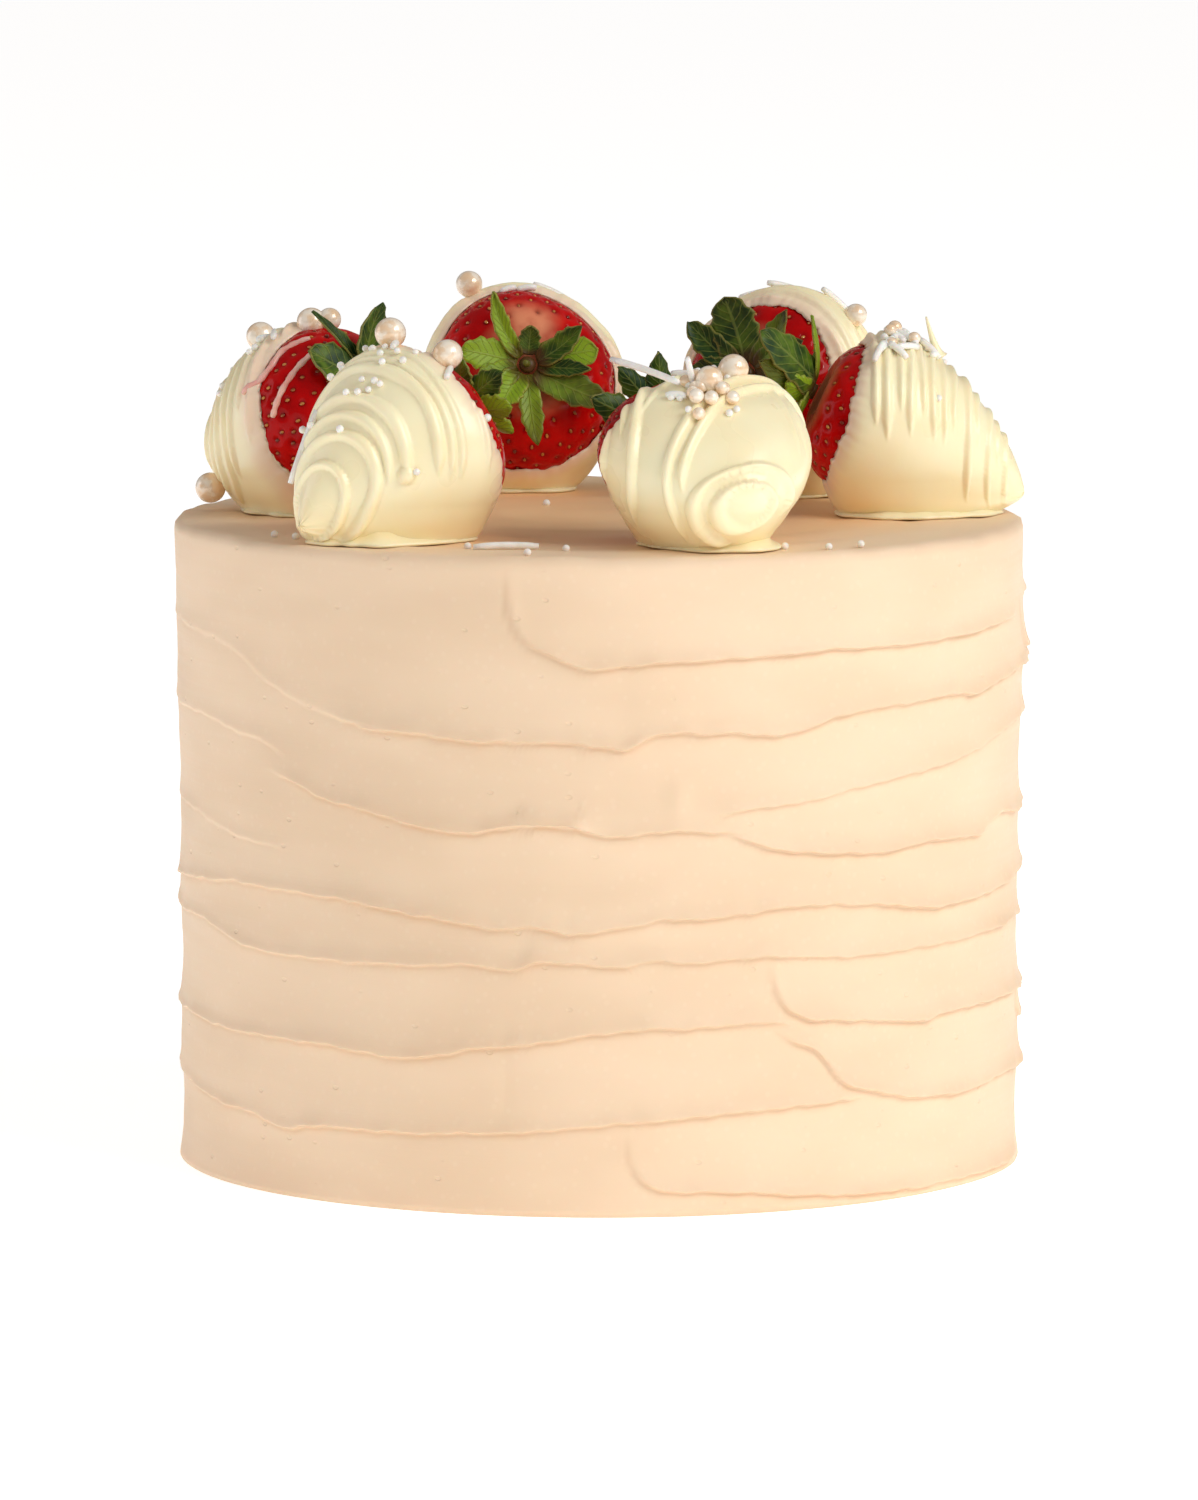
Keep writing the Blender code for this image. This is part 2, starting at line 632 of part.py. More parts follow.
def sepal(bm, berry, start, end, turn, draw):
    """One pointed sepal that grows from an edge of the hub, folded along its midrib and curled at random."""
    stalk_end = start.co.x
    length = berry.sepal * draw.uniform(*SEPAL_LENGTHS) * MM
    lift = draw.uniform(0.15, 1.0)
    sway = draw.uniform(-0.25, 0.25)
    across = Vector((0, math.cos(turn), -math.sin(turn)))
    rows = [(start, None, end)]
    for share, width in ((0.38, 1.0), (0.72, 0.72)):
        reach = CALYX_HUB + length * share * math.cos(lift * share)
        away = stalk_end - length * share * math.sin(lift * share) - 0.2 * MM
        outwards = Vector((0, math.sin(turn + sway * share), math.cos(turn + sway * share)))
        rib = Vector((away, 0, 0)) + outwards * reach
        half = across * SEPAL_SLIMNESS * berry.sepal * MM / 2 * width
        fold = Vector((-1.0 * MM * width, 0, 0))
        rows.append(tuple(bm.verts.new(point) for point in (rib - half + fold, rib, rib + half + fold)))
    tip_turn = turn + sway
    tip = bm.verts.new(
        (
            stalk_end - length * math.sin(lift) * 0.9 - 0.3 * MM,
            (CALYX_HUB + length * math.cos(lift)) * math.sin(tip_turn),
            (CALYX_HUB + length * math.cos(lift)) * math.cos(tip_turn),
        )
    )
    left, rib, right = rows[1]
    bm.faces.new((start, left, rib))
    bm.faces.new((start, rib, end))
    bm.faces.new((end, rib, right))
    far_left, far_rib, far_right = rows[2]
    for a, b, c, d in ((left, far_left, far_rib, rib), (rib, far_rib, far_right, right)):
        bm.faces.new((a, b, c))
        bm.faces.new((a, c, d))
    bm.faces.new((far_left, tip, far_rib))
    bm.faces.new((far_rib, tip, far_right))


def build_strawberry(berry):
    place = place_of(berry)
    fruit = object_from(berry_skin(berry), f"strawberry_{berry.name}", BERRY_SKIN)
    fruit.parent = place
    coat = chocolate_coat(berry, place)
    fuse(coat, decorations(berry, coat))
    calyx(berry, place)


def main():
    clear_scene()
    build_cake()
    for berry in STRAWBERRIES:
        build_strawberry(berry)


main()
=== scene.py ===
"""The strawberry cake, dressed: buttercream swept on with a palette knife, and six strawberries dipped in
white chocolate, drizzled and scattered with sugar pearls, strands and nonpareils.

Metres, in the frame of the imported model. Lengths marked MM are in millimetres times MM."""

import math
import random
from typing import NamedTuple

import bmesh
import bpy
import numpy as np
from mathutils import Matrix, Vector
from mathutils.bvhtree import BVHTree


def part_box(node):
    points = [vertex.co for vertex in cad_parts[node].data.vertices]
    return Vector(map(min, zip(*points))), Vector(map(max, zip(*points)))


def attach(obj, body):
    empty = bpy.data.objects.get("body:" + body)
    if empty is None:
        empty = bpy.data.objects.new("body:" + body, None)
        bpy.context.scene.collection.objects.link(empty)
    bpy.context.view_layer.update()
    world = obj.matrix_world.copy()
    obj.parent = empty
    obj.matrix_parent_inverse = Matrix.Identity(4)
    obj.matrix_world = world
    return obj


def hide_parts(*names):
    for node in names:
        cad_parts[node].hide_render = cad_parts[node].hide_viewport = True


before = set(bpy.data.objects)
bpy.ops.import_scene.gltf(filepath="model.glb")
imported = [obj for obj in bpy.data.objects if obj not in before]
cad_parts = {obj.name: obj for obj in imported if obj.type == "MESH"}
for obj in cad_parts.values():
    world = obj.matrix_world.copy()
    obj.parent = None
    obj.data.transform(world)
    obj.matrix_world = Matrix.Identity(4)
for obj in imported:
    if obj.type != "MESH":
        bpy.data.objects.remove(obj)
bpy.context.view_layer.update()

MM = 0.001
TURN = 2 * math.pi
GOLDEN_TURN = math.pi * (3 - math.sqrt(5))


# ---------------------------------------------------------------- camera, light and floor

CAMERA_PLACE = (0, -1.95, 0.312)
CAMERA_AIM = (0, 0, 0.0764)
CAMERA_LENS = 249


def aim(thing, target):
    thing.rotation_euler = (Vector(target) - thing.location).to_track_quat("-Z", "Y").to_euler()


def link(name, data):
    made = bpy.data.objects.new(name, data)
    bpy.context.scene.collection.objects.link(made)
    return made


def make_camera():
    lens = bpy.data.cameras.new("camera")
    lens.lens = CAMERA_LENS
    lens.sensor_width = 36
    lens.clip_start, lens.clip_end = 0.05, 60
    camera = link("camera", lens)
    camera.location = CAMERA_PLACE
    aim(camera, CAMERA_AIM)
    bpy.context.scene.camera = camera


def area_light(name, place, size, power, colour, target=(0, 0, 0.07)):
    lamp = bpy.data.lights.new(name, "AREA")
    lamp.shape = "RECTANGLE"
    lamp.size, lamp.size_y = size
    lamp.energy = power
    lamp.color = colour
    light = link(name, lamp)
    light.location = place
    aim(light, target)


def make_light():
    scene = bpy.context.scene
    scene.view_settings.view_transform = "Standard"
    world = bpy.data.worlds.new("studio")
    scene.world = world
    world.use_nodes = True
    tree = world.node_tree
    soft = tree.nodes["Background"]
    soft.inputs["Color"].default_value = (1, 0.97, 0.945, 1)
    seen = tree.nodes.new("ShaderNodeBackground")
    seen.inputs["Strength"].default_value = 1.0
    path = tree.nodes.new("ShaderNodeLightPath")
    dim = tree.nodes.new("ShaderNodeMapRange")
    dim.inputs["To Min"].default_value = 0.41
    dim.inputs["To Max"].default_value = 0.22
    tree.links.new(path.outputs["Is Glossy Ray"], dim.inputs["Value"])
    tree.links.new(dim.outputs[0], soft.inputs["Strength"])
    pick = tree.nodes.new("ShaderNodeMixShader")
    tree.links.new(path.outputs["Is Camera Ray"], pick.inputs[0])
    tree.links.new(soft.outputs[0], pick.inputs[1])
    tree.links.new(seen.outputs[0], pick.inputs[2])
    tree.links.new(pick.outputs[0], tree.nodes["World Output"].inputs["Surface"])
    area_light("key_light", (1.5, -0.92, 1.4), (1.1, 1.1), 20.6, (1, 0.99, 0.97))
    area_light("spark_light", (1.05, -1.45, 1.25), (0.16, 0.16), 4.0, (1, 0.98, 0.95))
    area_light("left_light", (-1.7, 0.35, 0.50), (0.9, 0.9), 3.3, (1, 0.94, 1))


def make_floor():
    bm = bmesh.new()
    bmesh.ops.create_grid(bm, x_segments=2, y_segments=2, size=16)
    mesh = bpy.data.meshes.new("floor")
    bm.to_mesh(mesh)
    bm.free()
    floor = link("floor", mesh)
    finish = Finish("floor_white", Roughness=0.9)
    finish.shader.inputs["Base Color"].default_value = (0.93, 0.93, 0.93, 1)
    finish.shader.inputs["Emission Color"].default_value = (1, 1, 1, 1)
    finish.shader.inputs["Emission Strength"].default_value = 0.61
    mesh.materials.append(finish.material)


# ---------------------------------------------------------------- materials


class Finish:
    """A Principled material, put together node by node."""

    def __init__(self, name, **sockets):
        self.material = bpy.data.materials.new(name)
        self.material.use_nodes = True
        self.tree = self.material.node_tree
        self.shader = self.tree.nodes["Principled BSDF"]
        for socket, value in sockets.items():
            self.shader.inputs[socket.replace("_", " ")].default_value = value

    def put(self, socket, value):
        if isinstance(value, bpy.types.NodeSocket):
            self.tree.links.new(value, socket)
        else:
            socket.default_value = value

    def node(self, kind, inputs, **settings):
        made = self.tree.nodes.new("ShaderNode" + kind)
        for key, value in settings.items():
            setattr(made, key, value)
        for key, value in inputs.items():
            self.put(made.inputs[key], value)
        return made

    def place(self, stretch=(1, 1, 1)):
        """Object coordinates, stretched."""
        made = self.node("TexCoord", {})
        return self.node("Mapping", {"Vector": made.outputs["Object"], "Scale": stretch}).outputs[0]

    def height(self):
        made = self.node("TexCoord", {})
        return self.node("SeparateXYZ", {0: made.outputs["Object"]}).outputs["Z"]

    def noise(self, scale, detail=2.0, stretch=(1, 1, 1), roughness=0.5):
        inputs = {"Vector": self.place(stretch), "Scale": scale, "Detail": detail, "Roughness": roughness}
        return self.node("TexNoise", inputs).outputs["Fac"]

    def span(self, value, low, high, start=0.0, end=1.0):
        """The value read from low to high, as a smooth share from start to end."""
        inputs = {"Value": value, "From Min": low, "From Max": high, "To Min": start, "To Max": end}
        return self.node("MapRange", inputs, interpolation_type="SMOOTHSTEP").outputs[0]

    def attribute(self, name):
        return self.node("Attribute", {}, attribute_name=name).outputs["Fac"]

    def mix(self, share, first, second):
        first, second = ((*c, 1) if isinstance(c, tuple) else c for c in (first, second))
        made = self.node("Mix", {0: share, 6: first, 7: second}, data_type="RGBA")
        return made.outputs[2]

    def maths(self, operation, first, second=0.0):
        return self.node("Math", {0: first, 1: second}, operation=operation).outputs[0]

    def bump(self, height, distance, strength=1.0, under=None):
        inputs = {"Height": height, "Distance": distance, "Strength": strength}
        if under is not None:
            inputs["Normal"] = under
        return self.node("Bump", inputs).outputs[0]

    def wear(self, colour=None, normal=None, roughness=None):
        """Connects what was made to the shader, and gives the material."""
        for socket, value in (("Base Color", colour), ("Normal", normal), ("Roughness", roughness)):
            if value is not None:
                self.put(self.shader.inputs[socket], value)
        return self.material


def buttercream():
    finish = Finish("buttercream", Subsurface_Weight=0.12, Subsurface_Scale=0.004, Specular_IOR_Level=0.35)
    tone = finish.noise(26, 2.0, (1, 1, 2.4))
    colour = finish.mix(finish.span(tone, 0.3, 0.7), (0.855, 0.640, 0.440), (0.900, 0.688, 0.485))
    specks = finish.node("TexVoronoi", {"Vector": finish.place(), "Scale": 420.0})
    pale = finish.span(specks.outputs["Distance"], 0.12, 0.30, 0.14, 0.0)
    colour = finish.mix(pale, colour, (0.97, 0.79, 0.60))
    # Painted shade: darker tan just under the lips of the sweeps
    crease = finish.maths("MULTIPLY", finish.attribute("crease"), 0.36)
    colour = finish.mix(crease, colour, (0.70, 0.47, 0.29))
    # Painted warm bounce light and shade on the top among the strawberries
    colour = finish.mix(finish.attribute("inner"), colour, (0.98, 0.61, 0.31))
    streaks = finish.noise(34, 3.0, (1, 1, 30), 0.6)
    grain = finish.noise(900, 2.0)
    holes = finish.node("TexVoronoi", {"Vector": finish.place((1, 1, 1.6)), "Scale": 210.0})
    few = finish.span(finish.node("SeparateColor", {0: holes.outputs["Color"]}).outputs[0], 0.74, 0.80)
    pit = finish.maths("MULTIPLY", finish.span(holes.outputs["Distance"], 0.08, 0.17, 1.0, 0.0), few)
    normal = finish.bump(streaks, 0.00002)
    normal = finish.bump(grain, 0.00002, 1.0, normal)
    normal = finish.bump(finish.maths("MULTIPLY", pit, -1.0), 0.00010, 1.0, normal)
    return finish.wear(colour, normal, finish.span(streaks, 0.3, 0.7, 0.48, 0.60))


def white_chocolate():
    finish = Finish(
        "white_chocolate", Subsurface_Weight=0.15, Subsurface_Scale=0.003, Coat_Weight=0.25,
        Coat_Roughness=0.25,
    )
    tone = finish.noise(70, 2.0)
    colour = finish.mix(finish.span(tone, 0.3, 0.7), (1.0, 0.860, 0.550), (1.0, 0.905, 0.615))
    # Painted warm light bounced up from the buttercream: golden towards the bottom of the coat, fading out
    # just above the cake
    low = finish.span(finish.height(), 0.1235, 0.1335, 1.0, 0.0)
    low = finish.maths("MULTIPLY", low, finish.span(finish.height(), 0.1214, 0.1232))
    colour = finish.mix(finish.maths("MULTIPLY", low, 0.35), colour, (1.0, 0.75, 0.36))
    blush = finish.maths("MULTIPLY", finish.attribute("blush"), 0.55)
    colour = finish.mix(blush, colour, (0.92, 0.58, 0.50))
    ripple = finish.noise(160, 3.0, (1, 1, 0.6))
    normal = finish.bump(ripple, 0.00010)
    return finish.wear(colour, normal, finish.span(tone, 0.3, 0.7, 0.26, 0.36))


def berry_skin():
    finish = Finish("strawberry_skin", Specular_IOR_Level=0.04, Coat_Weight=0.16, Coat_Roughness=0.04)
    mottle = finish.noise(110, 3.0)
    ripe = finish.mix(finish.span(mottle, 0.3, 0.7), (0.37, 0.001, 0.002), (0.60, 0.002, 0.002))
    uneven = finish.span(finish.noise(330, 2.0), 0.2, 0.6, 0.6, 1.0)
    pale = finish.maths("MULTIPLY", finish.attribute("pale"), uneven)
    colour = finish.mix(pale, ripe, (0.83, 0.30, 0.16))
    # Painted shade: darker red in the dimples round the seeds
    colour = finish.mix(finish.attribute("pit"), colour, (0.17, 0.003, 0.004))
    normal = finish.bump(finish.noise(520, 2.0), 0.00010)
    return finish.wear(colour, normal, finish.span(mottle, 0.3, 0.7, 0.20, 0.32))


def seed_skin():
    finish = Finish("seed_skin", Coat_Weight=0.3)
    tone = finish.noise(260, 1.0)
    colour = finish.mix(finish.span(tone, 0.35, 0.65), (0.20, 0.02, 0.004), (0.62, 0.25, 0.045))
    return finish.wear(colour, finish.bump(finish.noise(2400, 1.0), 0.00004), 0.35)


def leaf_green():
    finish = Finish("leaf_green", Subsurface_Weight=0.05, Subsurface_Scale=0.001, Specular_IOR_Level=0.25)
    uneven = finish.span(finish.noise(300, 3.0), 0.2, 0.8, -0.22, 0.22)
    tone = finish.maths("ADD", finish.attribute("tone"), uneven)
    colour = finish.mix(finish.span(tone, 0.0, 1.0), (0.010, 0.040, 0.007), (0.27, 0.42, 0.018))
    rib = finish.maths("ABSOLUTE", finish.attribute("rib"))
    vein_path = finish.maths("SUBTRACT", finish.attribute("along"), finish.maths("MULTIPLY", rib, 0.22))
    veins = finish.maths("SINE", finish.maths("MULTIPLY", vein_path, 52.0))
    veins = finish.maths("MAXIMUM", finish.span(veins, 0.75, 1.0), finish.span(rib, 0.03, 0.10, 1.0, 0.0))
    colour = finish.mix(finish.maths("MULTIPLY", veins, 0.35), colour, (0.30, 0.36, 0.08))
    colour = finish.mix(finish.span(rib, 0.86, 1.0, 0.0, 0.55), colour, (0.34, 0.30, 0.07))
    colour = finish.mix(finish.attribute("brown"), colour, (0.085, 0.016, 0.008))
    normal = finish.bump(veins, 0.00012)
    return finish.wear(colour, finish.bump(finish.noise(900, 2.0), 0.00005, 1.0, normal), 0.38)


def pearl_shell():
    finish = Finish("pearl_shell", Metallic=0.10, Coat_Weight=1.0, Coat_Roughness=0.08)
    tone = finish.noise(420, 2.0)
    colour = finish.mix(finish.span(tone, 0.35, 0.65), (0.93, 0.66, 0.42), (1.0, 0.90, 0.76))
    roughness = finish.span(tone, 0.3, 0.7, 0.2, 0.34)
    return finish.wear(colour, finish.bump(finish.noise(700, 1.0), 0.00003), roughness)


def sugar_white():
    finish = Finish("sugar_white", Subsurface_Weight=0.15, Subsurface_Scale=0.001, Coat_Weight=0.2)
    tone = finish.noise(500, 2.0)
    colour = finish.mix(finish.span(tone, 0.3, 0.7), (0.88, 0.84, 0.78), (0.96, 0.94, 0.90))
    return finish.wear(colour, finish.bump(finish.noise(1800, 1.0), 0.00005), 0.42)


# ---------------------------------------------------------------- shaping


def smoothstep(low, high, value):
    share = np.clip((value - low) / (high - low), 0, 1)
    return share * share * (3 - 2 * share)


def smooth_min(a, b, reach):
    """The smaller of two distances, rounded where they are nearly the same."""
    share = np.clip(0.5 + 0.5 * (b - a) / reach, 0, 1)
    return b + (a - b) * share - reach * share * (1 - share)


def through(points, x):
    """A smooth curve through the points, read at x, and level beyond its ends."""
    px, py = (np.array(values, float) for values in zip(*points))
    slope = np.gradient(py, px)
    x = np.clip(x, px[0], px[-1])
    i = np.clip(np.searchsorted(px, x, side="right") - 1, 0, len(px) - 2)
    span = px[i + 1] - px[i]
    t = (x - px[i]) / span
    back = 1 - t
    return (
        (1 + 2 * t) * back * back * py[i]
        + t * back * back * span * slope[i]
        + t * t * (3 - 2 * t) * py[i + 1]
        - t * t * back * span * slope[i + 1]
    )


def waver(draw, turn, cycles, size):
    """A smooth random wave round a full turn, made of whole numbers of cycles, about size high."""
    waves = [draw.uniform(0.5, 1) * np.sin(k * turn + draw.uniform(0, TURN)) for k in cycles]
    return size * sum(waves) / math.sqrt(len(waves))


def wrapped_grid(bm, points, **layers):
    """A grid wrapped round an axis: points[column, row] gives its places, and its seam and ends merge."""
    columns, rows = points.shape[0], points.shape[1] - 1
    old = set(bm.verts)
    bmesh.ops.create_grid(bm, x_segments=columns, y_segments=rows, size=1)
    keys = [(name, bm.verts.layers.float.get(name) or bm.verts.layers.float.new(name)) for name in layers]
    fresh = [vert for vert in bm.verts if vert not in old]
    for vert in fresh:
        column = round((vert.co.x + 1) / 2 * columns) % columns
        row = round((vert.co.y + 1) / 2 * rows)
        vert.co = points[column, row]
        for name, key in keys:
            vert[key] = layers[name][column, row]
    bmesh.ops.remove_doubles(bm, verts=fresh, dist=1e-7)


def grid_normals(points):
    """Which way each point of a wrapped grid faces, outwards or inwards as a whole."""
    around = np.roll(points, -1, axis=0) - np.roll(points, 1, axis=0)
    normals = np.cross(around, np.gradient(points, axis=1))
    for end, inner in ((0, 1), (-1, -2)):
        normals[:, end] = normals[:, inner].mean(axis=0)
    return normals / np.maximum(np.linalg.norm(normals, axis=2, keepdims=True), 1e-12)


def outward_normals(points, row):
    """Which way each point of a grid wrapped round the X axis faces, outwards, as one of its rows tells."""
    facing = grid_normals(points)
    return -facing if (facing[:, row] * (points[:, row] * (0, 1, 1))).sum() < 0 else facing


def piece(bm, name, finish, node, recalculate=True):
    """The finished piece: smooth, riding on the cake, and standing for its node of the model."""
    if recalculate:
        bmesh.ops.recalc_face_normals(bm, faces=bm.faces)
    mesh = bpy.data.meshes.new(name)
    bm.to_mesh(mesh)
    bm.free()
    mesh.shade_smooth()
    mesh.materials.append(finish)
    made = link(name, mesh)
    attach(made, "root")
    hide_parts(node)
    return made


def rod(bm, path, radii, sides=8, **layers):
    """A round rod along a path, with a closed end at both ends."""
    path = np.array(path, float)
    ahead = np.gradient(path, axis=0)
    ahead /= np.linalg.norm(ahead, axis=1, keepdims=True)
    side = np.cross(ahead, (0.31, 0.17, 0.93))
    side /= np.linalg.norm(side, axis=1, keepdims=True)
    up = np.cross(ahead, side)
    turn = np.arange(sides)[:, None] * TURN / sides
    radii = np.concatenate([[0], radii, [0]])
    path, side, up = (np.concatenate([a[:1], a, a[-1:]]) for a in (path, side, up))
    ring = np.cos(turn)[..., None] * side + np.sin(turn)[..., None] * up
    points = path + ring * radii[:, None]
    wrapped_grid(bm, points, **{name: np.full(points.shape[:2], value) for name, value in layers.items()})


def ball(bm, centre, diameter, fineness):
    bmesh.ops.create_icosphere(
        bm, subdivisions=fineness, radius=diameter / 2, matrix=Matrix.Translation(Vector(centre))
    )


# ---------------------------------------------------------------- buttercream

# Lengths in mm and angles in degrees from the front, to the right
CAKE_HEIGHT = 121.0
CAKE_OUTLINE = ((0, 79.6), (3, 79.2), (25, 78.9), (60, 79.0), (95, 79.6), (121, 80.1))
TOP_EDGE_ROUND = 1.6
ARC = TURN * 78.9 / 360
COLUMNS = 470
SIDE_ROWS = 176
TOP_RINGS = 24
FINE_STEPS = 900
EDGE_PULL = 6.0
EDGE_REACH = 0.75
SIDE_SEED = 3
RIM_SEED = 11

# The lower edge of a sweep in section: its lip, the step under it, the groove and the soft swell below
LIP_HEIGHT_SHARE = 0.36
LIP_WIDTH = 1.3
STEP_WIDTH = 0.22
UNDERCUT_SHARE = 0.36
UNDERCUT_WIDTH = 4.6
GROOVE_DEPTH = 0.13
GROOVE_PLACE = -0.50
GROOVE_WIDTH = 0.42
# Painted shade just under a lip: where it lies in mm from the edge, and its width
CREASE_SHADE_PLACE = -0.35
CREASE_SHADE_WIDTH = 0.45
DEPTH_GAIN = 1.3
# To the left the relief is shallower: its share of the depth there, and the degrees between which it grows
LEFT_DEPTH = 0.6
LEFT_DEPTH_ENDS = (-62, -28)
ROUND_START_FADE = 0.5
# Painted warm bounce light and shade on the top among the strawberries, fading out between these mm from the
# middle
TOP_PAINTED_BOUNCE = 0.9
TOP_PAINTED_BOUNCE_ENDS = (42, 72)
TOP_LEVEL = 115
# A small dab of buttercream, at (degrees, mm), and its half width, half height and thickness in mm
DAB = (10.4, 76.8)
DAB_REACH, DAB_RISE, DAB_THICKNESS = 2.2, 3.2, 0.6
# An upright streak left low down by the knife, at an angle in degrees, with its half width and depth in mm
STREAK_ANGLE = -12.5
STREAK_REACH, STREAK_DEPTH = 1.1, 0.25
# Waves that keep the side from being even, as (cycles round, cycles a mm up, size in mm)
UNEVENNESS = ((3, 0.031, 0.07), (5, 0.052, 0.042), (8, 0.083, 0.027), (13, 0.19, 0.012), (22, 0.33, 0.007))


class Sweep(NamedTuple):
    """One sweep of the knife: its lower edge in (degrees, mm), how far it stands out in mm, how high its
    swell reaches in mm, how round its start is in mm, or 0 where it fades in, and the degrees it fades in."""

    edge: tuple
    depth: float = 1.0
    band: float = 11.0
    corner: float = 0.0
    fade: float = 9.0


FRONT_SWEEPS = (
    Sweep(
        ((-12, 103.4), (-6, 102.9), (-2.5, 101.2), (0, 100.9), (3, 101.5), (8.5, 102), (20, 102.6),
         (26, 103), (32, 103.2), (45, 103), (55, 103.3), (62, 103.8), (80, 104.5)), 1.25, 17, 12, 12
    ),
    Sweep(
        ((-104, 104), (-85, 103.4), (-70, 102.5), (-57, 100), (-50, 95.5), (-43, 92), (-33, 89.5),
         (-26, 88.5)), 0.34, 13
    ),
    Sweep(
        ((-40, 91), (-30, 88.5), (-24, 88.3), (-19, 87.5), (-7, 87.5), (0, 86.8), (4, 86.4), (6, 88),
         (15, 88.8), (27, 88.6), (31, 90.2), (37, 91.5), (45, 92), (52, 92.5), (60, 92), (68, 93.3),
         (76, 94.2), (100, 95)), 1.15, 13
    ),
    Sweep(((-112, 88), (-80, 87.3), (-63, 86.5), (-56, 85), (-50, 83.8), (-44, 80.5)), 0.5, 11),
    Sweep(
        ((-52, 79.5), (-45, 77.5), (-40, 75.3), (-32, 73.6), (-23, 71), (-19, 70.4), (-14, 71.3),
         (-2, 71.4), (0, 70.4), (8, 71.1), (17, 70.4), (22, 70.2)), 1.1, 13
    ),
    Sweep(((-15.5, 71.2), (-13, 71.9), (-7, 72.1), (-1, 71.4)), 0.7, 2.2, 0, 2.5),
    Sweep(
        ((13, 73.2), (18.3, 74.2), (24, 75), (30, 75.8), (40, 77.9), (47, 79), (55, 80), (70, 83.5),
         (105, 86)), 0.8, 11, 0, 6
    ),
    Sweep(
        ((16, 70.6), (21, 68.3), (24, 67), (30, 66), (35, 65.2), (41, 65), (47, 65.7), (53, 65.7),
         (60, 65.1), (63, 65.5), (66, 67.1), (80, 66.9), (108, 67)), 1.05, 8, 0, 4
    ),
    Sweep(((-112, 70), (-85, 69), (-69, 67.9), (-57, 65.4), (-50, 65), (-44, 64)), 0.45, 12),
    Sweep(
        ((-106, 51), (-79, 55), (-69, 55.8), (-59, 57), (-50, 57), (-40, 56.9), (-30, 55.8), (-23, 54.6),
         (-18, 53.8), (-12, 52.8), (-10.5, 53.4), (-3, 52.3), (2.5, 53.2), (7.5, 54.6), (13, 54.8),
         (20, 55.4), (28, 56.4), (35, 55.8), (42, 55), (47, 53.8), (56, 53.4), (80, 55), (100, 56)),
        1.05, 11
    ),
    Sweep(
        ((-96, 50), (-79, 48.3), (-70, 48.6), (-62, 47), (-55, 45.4), (-40, 45.2), (-30, 45.3), (-23, 45.8),
         (-18, 46.3), (-11, 45.7), (-9, 46.6), (-3, 46.9), (4, 46.3), (6, 46.9), (13, 46.7), (22, 47.3),
         (28, 46.7), (40, 46.1), (48, 46.3), (56, 46.4), (90, 47.5)), 0.9, 7
    ),
    Sweep(
        ((23.6, 35.8), (31, 35), (40, 33.6), (45, 33), (48.8, 32.3), (52, 33.2), (60, 33.2), (70, 33.3),
         (81, 32.9), (112, 32)), 1.1, 12, 9
    ),
    Sweep(
        ((-122, 28), (-79, 29.6), (-69, 29.4), (-60, 29), (-50, 29.3), (-40, 29.4), (-33, 28.8),
         (-28, 28.3), (-22, 29.2), (-18, 30.4), (-10, 31.8), (-2, 33.5), (5, 34.6), (12, 34.8), (23, 35),
         (29, 34.6)), 1.1, 11
    ),
    Sweep(
        ((21.5, 36), (23.5, 34.2), (26, 31.7), (31, 27.9), (33, 24.2), (35, 22.3), (40, 20.4), (45, 19),
         (53, 17.8), (62, 17.8), (70, 18.5), (77, 18.3), (110, 18.5)), 1.1, 12
    ),
    Sweep(
        ((-118, 18), (-80, 16.7), (-70, 15.8), (-60, 14.6), (-54, 14.3), (-50, 13.2), (-46, 12.9),
         (-42, 13.8), (-32, 14.3), (-20, 14.8), (-10, 15.7), (-2, 16.7), (5, 17.5), (12, 18.3), (23, 19),
         (32, 19.6), (40, 19.5)), 1, 12
    ),
    Sweep(((4, 4.5), (13, 4.6), (20, 3.9), (28, 2.9), (35, 2.1), (60, 1.6), (85, 1.5)), 1, 12, 9),
)

BACK_SEED = 7
BACK_LEVELS = 9
BACK_LOWEST = 15.0
BACK_SPACING = 11.6
BACK_FROM = 92.0
BACK_TO = 268.0


def back_sweeps():
    """Sweeps across the back, evenly spaced up the side, with the ups and downs of the front ones."""
    draw = random.Random(BACK_SEED)
    made = []
    for level in range(BACK_LEVELS):
        height = BACK_LOWEST + BACK_SPACING * level
        first = BACK_FROM + draw.uniform(-14, 30)
        last = BACK_TO + draw.uniform(-30, 14)
        steps = 6
        edge = tuple(
            (first + (last - first) * k / steps, height + draw.uniform(-2.2, 2.2)) for k in range(steps + 1)
        )
        made.append(Sweep(edge, draw.uniform(0.75, 1.1), 11.5, 9.0 * (level % 3 == 1)))
    return tuple(made)


